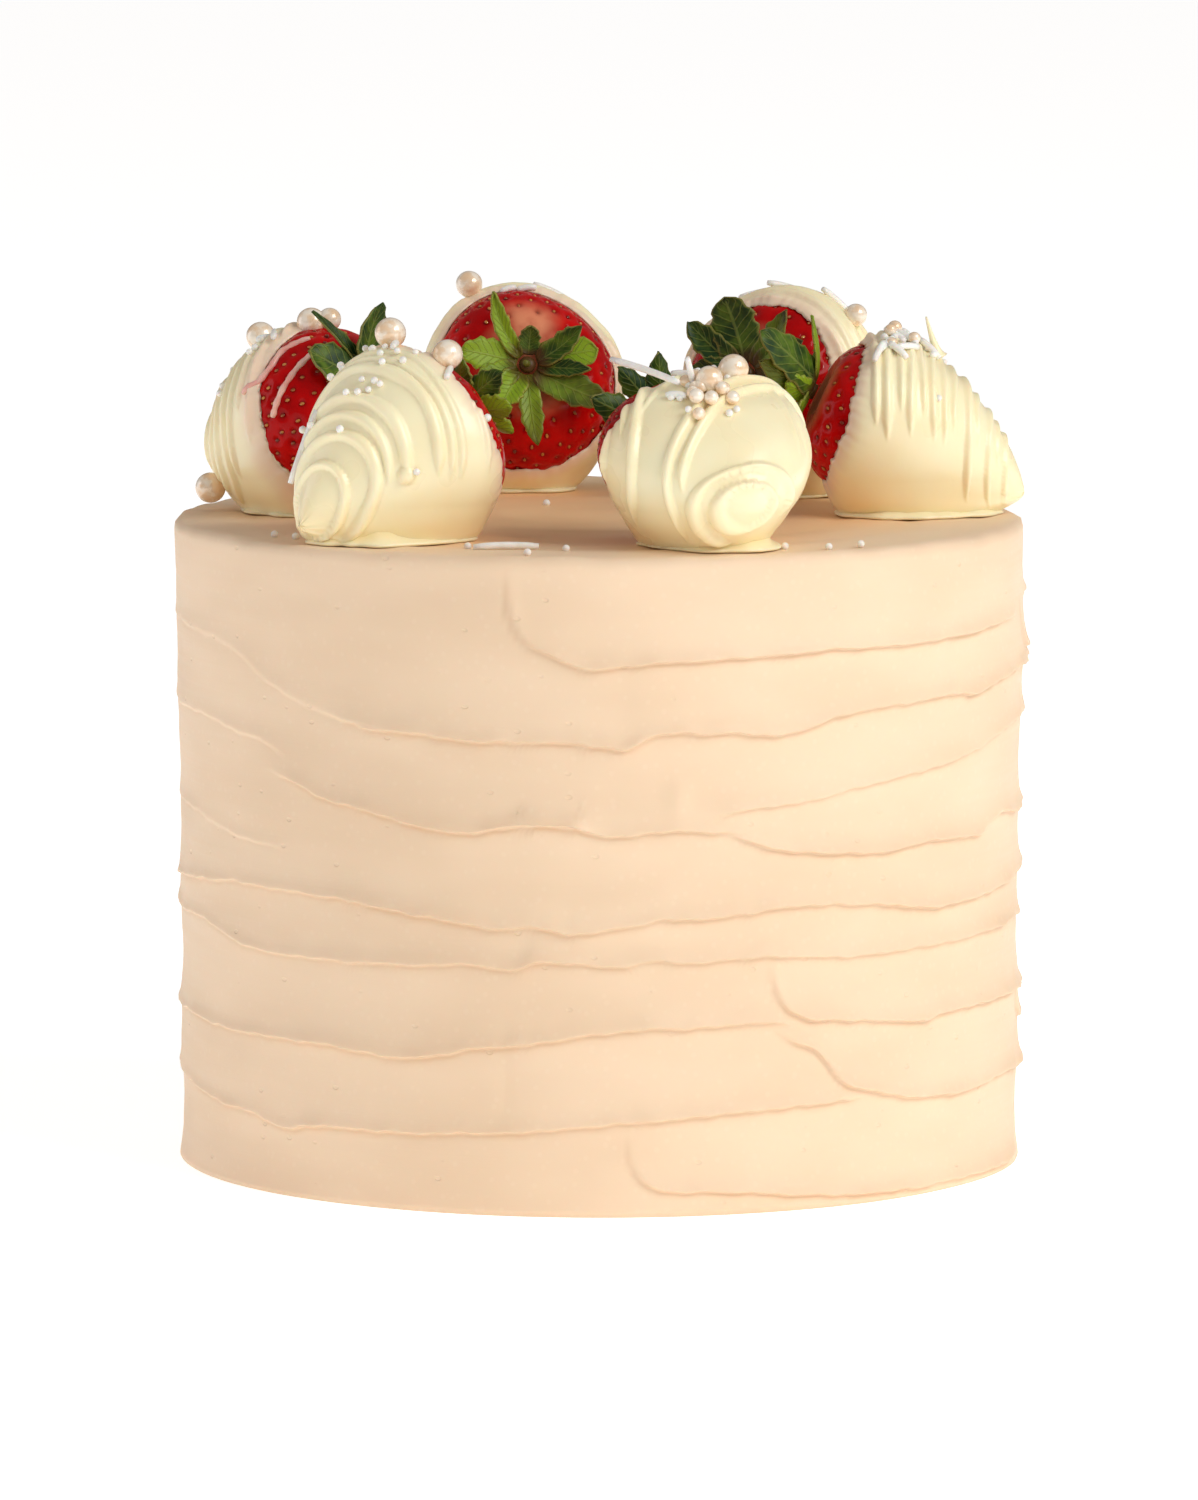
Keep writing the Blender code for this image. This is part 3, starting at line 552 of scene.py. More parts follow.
def sweep_lift(sweep, angle, height, draw):
    """How far in mm one sweep's buttercream stands out, at an angle in degrees and a height in mm, with how
    much edge is near and how deep the shade under it is. The edge is a little ragged, and it stands out more
    in some places than in others."""
    first, last = sweep.edge[0][0], sweep.edge[-1][0]
    middle = (first + last) / 2
    angle = (angle - middle + 180) % 360 - 180 + middle
    turn = np.radians(angle)
    edge = through(sweep.edge, angle) + waver(draw, turn, (19, 31, 47, 71, 103), 0.22)
    lean = (through(sweep.edge, angle + 1) - through(sweep.edge, angle - 1)) / (2 * ARC)
    above = (height - edge) / np.sqrt(1 + lean * lean)
    share = np.clip(1 - above / sweep.band, 0, 1)
    shown = 1 - smoothstep(last - sweep.fade, last, angle)
    level = 1.0
    if sweep.corner:
        along = (angle - first) * ARC
        level = smoothstep(-sweep.corner / 2, sweep.corner / 2, along - above)
        above = smooth_min(above, along, sweep.corner)
        shown = shown * smoothstep(0, ROUND_START_FADE, share)
    else:
        shown = shown * smoothstep(first, first + sweep.fade, angle)
    lip = np.exp(-((above / LIP_WIDTH) ** 2)) * (1 + waver(draw, turn, (23, 37, 59), 0.35))
    proud = (1 - LIP_HEIGHT_SHARE) * share * share + LIP_HEIGHT_SHARE * lip
    below = UNDERCUT_SHARE * np.exp(np.minimum(above, 0) / UNDERCUT_WIDTH)
    below = below - GROOVE_DEPTH * np.exp(-(((above - GROOVE_PLACE) / GROOVE_WIDTH) ** 2))
    step = smoothstep(-STEP_WIDTH, 0, above)
    depth = DEPTH_GAIN * sweep.depth * (1 + waver(draw, turn, (5, 9, 14), 0.16))
    depth = depth * (LEFT_DEPTH + (1 - LEFT_DEPTH) * smoothstep(*LEFT_DEPTH_ENDS, angle))
    near = depth * shown * level * np.exp(-(((above + 0.1) / EDGE_REACH) ** 2))
    # How deep the painted shade just under the lip is
    crease = depth * shown * np.exp(-(((above - CREASE_SHADE_PLACE) / CREASE_SHADE_WIDTH) ** 2))
    return depth * shown * (below + (proud - below) * step), near, crease


def side_radius(angle, height):
    """The buttercream's radius in mm at an angle in degrees and a height in mm, with how much edge is near
    and how deep the shade under an edge is."""
    draw = random.Random(SIDE_SEED)
    turn = np.radians(angle)
    radius = through(CAKE_OUTLINE, height) + 0.0 * angle
    near, crease = np.zeros(radius.shape), np.zeros(radius.shape)
    for sweep in FRONT_SWEEPS + back_sweeps():
        lift, edge, shade = sweep_lift(sweep, angle, height, draw)
        radius, near, crease = radius + lift, np.maximum(near, edge), np.maximum(crease, shade)
    for cycles, per_mm, size in UNEVENNESS:
        phase = draw.uniform(0, TURN)
        radius = radius + size * np.sin(cycles * turn + TURN * per_mm * height + phase)
        radius = radius + 0.4 * size * np.sin(-cycles * turn + TURN * per_mm * 1.7 * height + 2 * phase)
    streak = np.exp(-(((angle - STREAK_ANGLE) * ARC / STREAK_REACH) ** 2))
    streak = streak * smoothstep(16, 22, height) * (1 - smoothstep(32, 38, height))
    dab = np.exp(-(((angle - DAB[0]) * ARC / DAB_REACH) ** 2) - ((height - DAB[1]) / DAB_RISE) ** 2)
    return radius - STREAK_DEPTH * streak + DAB_THICKNESS * dab, near, crease


def blurred(values):
    """The values evened out a little round the cake and up its side, so that rows shift gradually."""
    for axis, reach in ((0, 2), (1, 2)):
        for _ in range(2):
            rolled = [np.roll(values, k, axis=axis) for k in range(-reach, reach + 1)]
            values = sum(rolled) / len(rolled)
    return values


def buttercream_points():
    """The buttercream by column and row: from the middle of the underside out, up the side, round the top
    edge and in to the middle. Rows lie closest near the edges of the sweeps. Also gives the shade there."""
    fine = np.linspace(0, CAKE_HEIGHT - TOP_EDGE_ROUND, FINE_STEPS)
    angle = (np.arange(COLUMNS) * 360 / COLUMNS + 180) % 360 - 180
    radii, near, crease_shades = side_radius(angle[:, None], fine[None, :])
    pull = blurred(near)[:, 1:]
    draw = random.Random(RIM_SEED)
    rim = waver(draw, np.radians(angle), (7, 12, 19, 31, 46), 0.22)
    quarter = np.linspace(0, math.pi / 2, 9)[1:]
    points, shades = [], []
    for column, radius in enumerate(radii):
        turn = math.radians(angle[column])
        inner = radius[-1] - TOP_EDGE_ROUND
        r = np.concatenate([radius, inner + TOP_EDGE_ROUND * np.cos(quarter)])
        z = np.concatenate([fine, fine[-1] + TOP_EDGE_ROUND * np.sin(quarter)])
        z = z + rim[column] * smoothstep(CAKE_HEIGHT - 5, CAKE_HEIGHT, z)
        length = np.hypot(np.diff(r), np.diff(z))
        length[: len(pull[column])] *= 1 + EDGE_PULL * pull[column]
        walked = np.concatenate([[0], np.cumsum(length)])
        wanted = np.linspace(0, walked[-1], SIDE_ROWS + 1)
        share = np.linspace(1, 0, TOP_RINGS + 1)[1:]
        ring = inner * share
        swirl = np.sin(TURN * ring / 13 + turn) + 0.6 * np.sin(TURN * ring / 7.3 + 2 * turn + 1)
        level = CAKE_HEIGHT - 0.12 + 0.13 * swirl * smoothstep(0, 0.1, share) * smoothstep(0, 0.06, 1 - share)
        level = level + rim[column] * smoothstep(0.92, 1.0, share)
        shade = np.interp(np.interp(wanted, walked, z), fine, crease_shades[column])
        shades.append(np.concatenate([[0, 0], shade, 0 * ring]))
        r = np.concatenate([[0, inner * 0.6], np.interp(wanted, walked, r), ring])
        z = np.concatenate([[0, 0], np.interp(wanted, walked, z), level])
        points.append(np.stack([r * math.sin(turn), -r * math.cos(turn), z], axis=1))
    return np.array(points) * MM, np.array(shades)


def make_buttercream(finish):
    bm = bmesh.new()
    points, crease = buttercream_points()
    from_middle = np.hypot(points[..., 0], points[..., 1]) / MM
    # Painted warm bounce light and shade on the top among the strawberries, kept off the side
    inner = TOP_PAINTED_BOUNCE * (1 - smoothstep(*TOP_PAINTED_BOUNCE_ENDS, from_middle)) * (points[..., 2] > TOP_LEVEL * MM)
    # The painted shade under the sweeps' lips goes on the mesh as an attribute
    wrapped_grid(bm, points, crease=np.clip(crease, 0, 1), inner=inner)
    return piece(bm, "buttercream", finish, "cake")


# ---------------------------------------------------------------- strawberries

SHOULDER_POWER = 0.38
STALK_HOLLOW = 2.2 * MM
STALK_HOLLOW_RADIUS = 5.0 * MM
MIDDLE_SHARE = 0.45


class Strawberry(NamedTuple):
    """A dipped strawberry. It points the way its tip points, in degrees from +X. droop is how far its tip
    leans down, and taper sharpens the tip. bare is the share of its length, from the stalk, that the
    chocolate leaves bare, and slant and tilt lean the chocolate's edge. Lengths are in mm."""

    name: str
    around: float
    points: float
    droop: float
    length: float
    width: float
    tallness: float
    taper: float
    bare: float
    slant: float
    tilt: float


STRAWBERRIES = (
    Strawberry("front_left", -130, -145, 28, 39, 36.4, 0.92, 0.95, 0.185, 0.04, 0.12),
    Strawberry("front_right", -70.6, -66, 14, 39, 37.6, 0.74, 0.64, 0.235, 0.33, 0.07),
    Strawberry("right", 4.6, 2, 25, 41.5, 33.6, 0.88, 0.87, 0.15, 0.00, 0.15),
    Strawberry("back_right", 51, 64, 18, 43, 35.2, 1.00, 0.75, 0.15, -0.03, 0.10),
    Strawberry("back_left", 105, 93, 20, 42, 35.0, 1.05, 0.70, 0.265, -0.03, 0.00),
    Strawberry("left", 175, 140, 22, 43, 32.6, 1.00, 0.80, 0.295, -0.20, 0.15),
)


def body_share(taper, share):
    """A strawberry's radius at a share of its length from the stalk, as a share of its largest radius."""
    widest = SHOULDER_POWER / (SHOULDER_POWER + taper)
    largest = widest**SHOULDER_POWER * (1 - widest) ** taper
    return share**SHOULDER_POWER * (1 - share) ** taper / largest


def skin_points(berry, share, turn):
    """Points of the strawberry's skin. Its axis is +X from stalk to tip, and turn counts from its top."""
    radius = berry.width / 2 * MM * body_share(berry.taper, share)
    lobes = 1 + 0.025 * np.cos(2 * turn + berry.around) + 0.02 * np.cos(3 * turn + berry.points)
    hollow = STALK_HOLLOW * np.exp(-((radius / STALK_HOLLOW_RADIUS) ** 2)) * (share < 0.5)
    along = (share - MIDDLE_SHARE) * berry.length * MM + hollow
    across, up = radius * lobes * np.sin(turn), radius * lobes * berry.tallness * np.cos(turn)
    return np.stack(np.broadcast_arrays(along, across, up), axis=-1)


class Stand:
    """Where a strawberry lies: turned the way it points, with its skin in its node's box."""

    def __init__(self, berry):
        direction = Matrix.Rotation(math.radians(berry.points), 3, "Z")
        self.lean = np.array(direction @ Matrix.Rotation(math.radians(berry.droop), 3, "Y"))
        share = (1 - np.cos(np.linspace(0, math.pi, 9))) / 2
        turn = np.arange(14) * TURN / 14
        coarse = skin_points(berry, share[None, :], turn[:, None]).reshape(-1, 3) @ self.lean.T
        low, high = (np.array(corner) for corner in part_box(f"strawberry_{berry.name}"))
        self.middle = (low + high) / 2 - (coarse.min(axis=0) + coarse.max(axis=0)) / 2

    def out(self, points):
        return points @ self.lean.T + self.middle


def coat_edge(berry, turn):
    """The share of the length at which the chocolate begins, all round, with its small teeth."""
    share = np.full_like(turn, berry.bare)
    for _ in range(8):
        point = skin_points(berry, share, turn)
        share = berry.bare - (berry.slant * point[..., 1] + berry.tilt * point[..., 2]) / (berry.length * MM)
    draw = random.Random(f"edge {berry.name}")
    ragged = waver(draw, turn, (5, 8, 13), 0.35) + waver(draw, turn, (21, 34, 47, 60), 0.22)
    return share + ragged / berry.length


SEED_COUNT = 400
PIT_DEPTH = 0.42 * MM
PIT_RADIUS = 0.85 * MM
# Strawberries that aren't ripe all round: the degrees round from the top at which they are pale
PALE_SHOULDERS = {"back_left": -6}


def seed_places(berry):
    """(share, turn) of the seeds in the bare part, on a spiral that spaces them evenly."""
    fine = np.linspace(0.0005, 0.9995, 2000)
    area = np.cumsum(body_share(berry.taper, fine))
    draw = random.Random(f"seeds {berry.name}")
    places = []
    for number in range(SEED_COUNT):
        share = float(np.interp((number + 0.5) / SEED_COUNT * area[-1], area, fine))
        turn = number * GOLDEN_TURN + draw.uniform(-0.04, 0.04)
        limit = float(coat_edge(berry, np.array([turn]))[0]) + 0.02
        if 0.035 < share < limit:
            places.append((share + draw.uniform(-0.006, 0.006), turn))
    return np.array(places)


def lumps(draw, points, size, wavelengths):
    """Soft random lumps, in the points' own space, about size high."""
    total = 0
    for wavelength in wavelengths:
        for _ in range(3):
            way = Vector((draw.gauss(0, 1), draw.gauss(0, 1), draw.gauss(0, 1))).normalized()
            total = total + np.sin(points @ np.array(way) * TURN / wavelength + draw.uniform(0, TURN))
    return size * total / math.sqrt(3 * len(wavelengths))


def make_strawberry(berry, stand, skin, seeds):
    """The berry: dimpled where it is bare, with a seed in each dimple."""
    columns = 210
    stalk_end = 0.006 * np.arange(4) ** 1.3 / 4**1.3
    share = np.concatenate([stalk_end, np.linspace(0.006, 0.46, 66), np.linspace(0.52, 1, 12)])
    turn = np.arange(columns)[:, None] * TURN / columns
    share = np.broadcast_to(share, (columns, len(share)))
    smooth = skin_points(berry, share, turn)
    facing = outward_normals(smooth, 60)
    draw = random.Random(f"skin {berry.name}")
    lift = lumps(draw, smooth, 0.16 * MM, (9 * MM, 14 * MM))
    places = seed_places(berry)
    centres = skin_points(berry, places[:, 0], places[:, 1])
    pit = np.zeros(smooth.shape[:2])
    for centre in centres:
        gap = np.linalg.norm(smooth - centre, axis=2)
        pit = np.maximum(pit, np.exp(-((gap / PIT_RADIUS) ** 2)))
    lift = lift - PIT_DEPTH * pit
    pale = smoothstep(0.05, 0.008, share) * 0.7
    if berry.name in PALE_SHOULDERS:
        facing_pale = math.radians(PALE_SHOULDERS[berry.name])
        off = np.degrees(np.arccos(np.clip(np.cos(turn - facing_pale), -1, 1)))
        pale = np.maximum(pale, (1 - smoothstep(0.02, 0.11, share)) * (1 - smoothstep(12, 40, off)))
    bm = bmesh.new()
    # The pit attribute paints shade into the dimples, darker as they deepen
    wrapped_grid(bm, stand.out(smooth + facing * lift[..., None]), pale=pale, pit=0.85 * pit**2)
    piece(bm, f"berry_{berry.name}", skin, f"strawberry_{berry.name}")
    bm = bmesh.new()
    for place, centre in zip(places, centres):
        ahead, beside = np.array([place[0] + 0.01, place[0]]), np.array([place[1], place[1] + 0.01])
        near = skin_points(berry, ahead, beside)
        along, across = (Vector(near[k] - centre).normalized() for k in (0, 1))
        face = along.cross(across)
        if face.dot(Vector((0, centre[1], centre[2]))) < 0:
            face = -face
        axes = Matrix(np.array((along * 0.52, face.cross(along) * 0.32, face * 0.24)).T * MM).to_4x4()
        seat = Vector(centre) - face * (PIT_DEPTH - 0.16 * MM)
        rest = Matrix(stand.lean).to_4x4()
        rest.translation = Vector(stand.middle)
        matrix = rest @ Matrix.Translation(seat) @ axes
        bmesh.ops.create_uvsphere(bm, u_segments=7, v_segments=5, radius=1, matrix=matrix)
    piece(bm, f"seeds_{berry.name}", seeds, f"strawberry_{berry.name}")


# ---------------------------------------------------------------- white chocolate

COAT_LIFT = 1.75
COAT_EDGE_LIFT = 0.30
COAT_SWELL = 1.6
COAT_IN_SKIN = 0.15 * MM
# How far in mm from the coat's edge the red shows through
BLUSH_REACH = {"left": 6.5, "front_left": 5.0, "back_right": 4.0, "back_left": 2.5}
SKIRT_FLOOR = 121.02 * MM
SKIRT_HEIGHT = 7.0 * MM
SKIRT_SPREAD = 3.0 * MM
SKIRT_SLUMP = 0.25


class Line(NamedTuple):
    """A line of drizzle, laid in an upright plane. heading is the way the plane faces, in degrees from +X,
    and place is how far in mm it is from the strawberry's middle. Left and right of the heading it ends at
    these heights in mm from the middle. half is its half width and tall how high it stands, in mm, and with
    a bulb it ends in a drop. dip is how many degrees its plane leans, so that it faces down."""

    heading: float
    place: float
    left: float
    right: float
    half: float = 1.0
    tall: float = 0.9
    bulb: bool = False
    dip: float = 0.0


DRIZZLE = {
    "front_left": (
        (-130, -8.5, 2, 4, 0.7, 0.5), (-130, -5.2, 3, 4, 0.6, 0.45), (-130, -2.3, -2, 5, 0.75, 0.6),
        (-130, 2.1, -3, 3, 0.65, 0.6), (-130, 3.9, -3, 5, 0.6, 0.6), (-130, 5.6, -2, -2, 1.2, 1),
        (-130, 9.7, -3, -4, 1.2, 1.1, True), (-130, 11.6, -4, -4, 0.95, 0.95),
        (-124, 13.3, -15, -12, 1.05, 1.15), (-124, 15.4, -15, -13, 0.85, 1),
    ),
    "front_right": (
        (-6, -15.8, 5, -3, 1, 1.25), (-6, -13.2, 6, 4, 0.75, 0.9), (-6, -10.5, 0, -9.5, 1.05, 1.3),
        (-36, -3.5, 4, 7, 0.7, 0.5), (-36, 5.2, -2, -11, 1.05, 1.25), (-36, 7.6, 0, -4, 0.95, 1.2),
        (-70, 17.3, -8, -13, 1.1, 1.2, False, 28), (-70, 19.5, -10, -12, 0.95, 1.15, False, 28),
        (24, 11.2, 5, 1, 0.8, 0.5), (24, 13.8, 3, 0, 0.7, 0.45),
    ),
    "right": (
        (2, -6.4, 6, 3, 0.8, 0.78), (2, -4.3, 2, 0.5, 0.85, 0.82), (2, -2.2, 5, 5, 0.7, 0.74),
        (2, -0.3, 3, 1, 0.75, 0.74), (2, 1.7, 5, 4, 0.65, 0.66), (2, 3.7, -2, 0, 0.8, 0.74),
        (2, 5.6, 4, -1, 0.7, 0.66), (2, 7.5, 0, 1, 0.75, 0.66), (2, 10, -6, -10, 0.9, 0.86),
        (2, 12.1, 2, -2, 0.65, 0.58), (2, 14.1, -3, -11, 0.8, 0.7), (2, 15.7, 0, -6, 0.6, 0.51),
        (2, 17.3, -5, -12, 0.75, 0.62),
    ),
    "left": (
        (160, -1.5, 6, 4, 0.7, 0.6), (160, 1.5, 2, 4, 0.8, 0.7), (160, 4.2, -2, 0, 0.9, 0.8),
        (160, 7, 3, -3, 0.8, 0.75), (160, 9, -9, 0, 0.85, 0.8), (160, 10.6, -13, -5, 0.9, 0.9),
        (160, 13.4, -13, -6, 0.9, 0.85), (160, 15.4, -13, -6, 0.8, 0.75), (160, 17.2, -10, -8, 0.8, 0.7),
    ),
    "back_left": (
        (93, -7, 4, 2, 0.8, 0.7), (93, -4.4, 0, 3, 0.9, 0.8), (93, -0.8, -3, -2, 1, 0.9),
        (93, 2, 3, 1, 0.8, 0.7), (93, 6.5, -6, -4, 1.1, 0.9), (93, 9, -2, -5, 0.9, 0.8),
        (93, 13.6, -9, -8, 1, 0.9), (93, 16, -6, -9, 0.9, 0.8),
    ),
    "back_right": (
        (60, -8.6, 3, 6, 0.8, 0.7), (60, -5.8, 0, 2, 0.9, 0.8), (60, -2.6, -2, 0, 1, 0.8),
        (60, 0.4, 4, 1, 0.8, 0.7), (60, 4.6, -5, -4, 1, 0.9), (60, 7.1, 0, -3, 0.8, 0.7),
        (60, 11.5, -8, -6, 1, 0.9), (60, 14.8, -5, -9, 0.9, 0.8),
    ),
}
LINE_TAPER = 4.5
LINE_WANDER = 0.22
BULB_RISE, BULB_TALL, BULB_RADIUS = 1.2, 1.35, 1.55


def drizzle(berry, where, facing):
    """How high in mm the drizzle stands on the coat, at places in mm from the strawberry's middle."""
    draw = random.Random(f"drizzle {berry.name}")
    total = np.zeros(where.shape[:2])
    for line in (Line(*row) for row in DRIZZLE[berry.name]):
        way = math.radians(line.heading)
        ahead = where[..., 0] * math.cos(way) + where[..., 1] * math.sin(way)
        side = where[..., 1] * math.cos(way) - where[..., 0] * math.sin(way)
        flat = facing[..., 0] * math.cos(way) + facing[..., 1] * math.sin(way)
        steep = np.sqrt(np.maximum(1 - flat * flat, 0.02))
        wander = np.sin(side / draw.uniform(2.5, 4) + draw.uniform(0, TURN))
        dip = math.radians(line.dip)
        sunk = ahead * math.cos(dip) - where[..., 2] * math.sin(dip)
        off = (sunk - line.place - LINE_WANDER * wander) / steep
        end = line.right + (line.left - line.right) * smoothstep(-3, 3, side)
        shown = smoothstep(end, end + LINE_TAPER, where[..., 2])
        swell = 1 + 0.12 * np.sin(side / draw.uniform(1.5, 2.5) + draw.uniform(0, TURN))
        across = off / (line.half * swell * (0.3 + 0.7 * shown))
        round_share = np.clip(1 - across * across, 0, 1)
        lift = line.tall * np.sqrt(shown) * (0.5 * np.sqrt(round_share) + 0.5 * round_share)
        if line.bulb:
            gap = np.hypot(off, where[..., 2] - end - BULB_RISE)
            lift = np.maximum(lift, BULB_TALL * np.sqrt(np.clip(1 - (gap / BULB_RADIUS) ** 2, 0, 1)))
        total = np.maximum(total, lift)
    return total


def run_down(berry, points, facing, share, turn, draw):
    """Lets the soft chocolate run down: near the cake it slumps and spreads into an uneven skirt."""
    ragged = 1 + waver(draw, turn, (3, 5, 8, 13), 0.35)
    flat = facing * (1, 1, 0)
    length = np.linalg.norm(flat, axis=2, keepdims=True)
    rise = np.maximum(0, (points[..., 2:] - SKIRT_FLOOR) / SKIRT_HEIGHT)
    dipped = smoothstep(berry.bare, berry.bare + 0.2, share)[..., None]
    spread = SKIRT_SPREAD * np.minimum(1, 2 * length) * (1 - rise) ** 2 * dipped * ragged[..., None]
    moved = points + flat / np.maximum(length, 1e-9) * spread
    slumped = np.maximum(0, (rise - SKIRT_SLUMP) / (1 - SKIRT_SLUMP))
    moved[..., 2:] = SKIRT_FLOOR + SKIRT_HEIGHT * (rise + (slumped - rise) * dipped)
    return np.where(rise < 1, moved, points)


def make_coat(berry, stand, finish):
    """The coat, as one closed shell: along its outside from the tip to its edge, and back along its inside.
    Gives its mesh in a tree that finds places on it."""
    columns = 260 if berry.name in ("front_left", "front_right", "right") else 180
    turn = np.arange(columns)[:, None] * TURN / columns
    edge = coat_edge(berry, turn)
    tip = 0.90 + 0.10 * (1 - (1 - np.linspace(0, 1, 16)) ** 2)
    down = np.concatenate([np.linspace(0, 0.05, 8), np.linspace(0.05, 0.90, 118)[1:], tip[1:]])
    share = edge + (1 - edge) * down
    smooth = skin_points(berry, share, turn)
    facing = outward_normals(smooth, 60)
    past = (share - edge) * berry.length
    draw = random.Random(f"coat {berry.name}")
    lift = COAT_EDGE_LIFT + (COAT_LIFT - COAT_EDGE_LIFT) * (1 - np.exp(-past / COAT_SWELL))
    lines = drizzle(berry, smooth @ stand.lean.T / MM, facing @ stand.lean.T)
    lift = lift + lines * smoothstep(0.4, 1.6, past)
    lift = lift + lumps(draw, smooth / MM, 0.10, (8, 13)) * smoothstep(0, 3, past)
    outside = stand.out(smooth + facing * lift[..., None] * MM)
    outside = run_down(berry, outside, facing @ stand.lean.T, share, turn + 0 * share, draw)
    inner = edge + (1 - edge) * np.concatenate([np.linspace(0, 0.1, 3), np.linspace(0.1, 1, 16)[1:]])
    hollow = skin_points(berry, inner, turn)
    inside = stand.out(hollow - outward_normals(hollow, 8) * COAT_IN_SKIN)
    points = np.concatenate([outside[:, ::-1], inside], axis=1)
    blush = 1 - smoothstep(0.0, BLUSH_REACH.get(berry.name, 3.5), past)
    blush = np.concatenate([blush[:, ::-1], np.zeros(inner.shape)], axis=1)
    bm = bmesh.new()
    wrapped_grid(bm, points, blush=blush)
    bmesh.ops.recalc_face_normals(bm, faces=bm.faces)
    found = BVHTree.FromBMesh(bm)
    piece(bm, f"coat_{berry.name}", finish, f"chocolate_coat_{berry.name}")
    make_puddle(berry, outside.reshape(-1, 3), finish)
    return found


# Where the chocolate ran out furthest on the cake, as (degrees from +X, mm, half width in degrees)
PUDDLES = {
    "front_left": ((-97, 4.4, 20), (-60, 1.2, 20), (-150, 0.6, 14)),
    "front_right": ((-36, 4.2, 34), (-85, 1.0, 18), (0, 1.2, 12)),
    "right": ((-95, 2.2, 60), (-60, 0.5, 12), (-122, 0.6, 9), (-28, 1.0, 12)),
    "left": ((-75, 1.2, 12), (-120, 0.9, 10), (-155, 1.1, 12)),
    "back_left": ((-60, 1.0, 16), (-110, 0.8, 16)),
    "back_right": ((-90, 1.0, 20), (-30, 0.9, 16)),
}
PUDDLE_COLUMNS = 128
# The puddle's outline from its underside up, as (mm in from its rim, mm up)
PUDDLE_OUTLINE = (
    (2.5, 0), (0.35, 0), (0.05, 0.16), (0, 0.38), (0.2, 0.62), (0.7, 0.85), (1.6, 1.2), (3.2, 2.6),
)


def make_puddle(berry, outside, finish):
    """The thin ragged foot of chocolate that ran out round the coat on the cake."""
    floor = SKIRT_FLOOR
    low = outside[outside[:, 2] < floor + 0.9 * MM]
    middle = (low[:, :2].min(axis=0) + low[:, :2].max(axis=0)) / 2
    away = low[:, :2] - middle
    bearing, distance = np.arctan2(away[:, 1], away[:, 0]), np.hypot(away[:, 0], away[:, 1])
    turn = np.arange(PUDDLE_COLUMNS) * TURN / PUDDLE_COLUMNS
    apart = np.abs((bearing[None, :] - turn[:, None] + math.pi) % TURN - math.pi)
    reach = np.where(apart < math.radians(5), distance[None, :], 0).max(axis=1)
    reach = (np.roll(reach, 1) + 2 * reach + np.roll(reach, -1)) / 4
    draw = random.Random(f"puddle {berry.name}")
    run = waver(draw, turn, (4, 7, 11), 0.30) + waver(draw, turn, (17, 26, 37), 0.10) - 0.25
    for degrees, extra, half in PUDDLES[berry.name]:
        off = (np.degrees(turn) - degrees + 180) % 360 - 180
        run = run + extra * np.exp(-((off / half) ** 2))
    rim = reach + run * MM
    rows = [(0 * rim, 0 * rim)]
    for inwards, up in PUDDLE_OUTLINE:
        rows.append((np.maximum(rim - inwards * MM, 0.2 * MM), 0 * rim + up * MM))
    rows.append((0 * rim, rows[-1][1]))
    r, z = (np.stack(values, axis=1) for values in zip(*rows))
    around = turn[:, None]
    bm = bmesh.new()
    wrapped_grid(
        bm, np.stack([middle[0] + r * np.cos(around), middle[1] + r * np.sin(around), floor + z], axis=2)
    )
    piece(bm, f"puddle_{berry.name}", finish, f"chocolate_coat_{berry.name}")


def on_coat(berry, stand, coat, share, degrees):
    """A place on the outside of the coat, and the way it faces there."""
    turn = math.radians(degrees)
    outwards = stand.lean @ np.array((0, math.sin(turn), math.cos(turn)))
    centre = stand.out(np.array(((share - MIDDLE_SHARE) * berry.length * MM, 0, 0)))
    start = Vector(centre + outwards * 40 * MM)
    where, facing, _, _ = coat.ray_cast(start, -Vector(outwards))
    if where is None:
        where = Vector(centre + outwards * berry.width / 2 * MM)
        facing = Vector(outwards)
    return where, facing


# ---------------------------------------------------------------- pearls, strands and nonpareils

# Each strawberry's pearls, as (share, degrees round from its top, diameter in mm, lift in mm)
PEARLS = {
    "front_left": ((0.19, -6, 5.8, 0), (0.13, 31, 5.6, -0.3)),
    "front_right": (
        (0.41, 21, 5.6, -0.3), (0.52, -8, 5, 0.2), (0.46, -13, 2.8, 0.5), (0.53, -18, 2.7, 0),
        (0.57, -13, 2.5, 0.5), (0.64, -23, 2.8, 0), (0.67, -14, 2.7, 0), (0.7, -31, 2.4, 0),
        (0.61, -1, 2.5, 0), (0.64, 3, 2.6, 0), (0.45, -20, 2.3, 0), (0.6, -20, 2.3, 0.8),
        (0.58, -7, 2.4, 0.9), (0.37, 12, 2.2, 0),
    ),
    "right": ((0.21, -8, 2.8, 0), (0.22, -30, 2.2, 0.2), (0.29, -18, 2.4, 0), (0.18, -16, 2.2, 0.2)),
    "back_right": ((0.3, -44, 4.4, 0),),
    "back_left": ((0.32, 27, 5.2, 0.3),),
    "left": ((0.55, -2, 5.6, 0.9), (0.235, 3, 5.6, -1.2), (0.17, -4, 4.4, -1.2), (0.9, 125, 5.8, 0)),
}
PEARL_SUNK_SHARE = 0.10

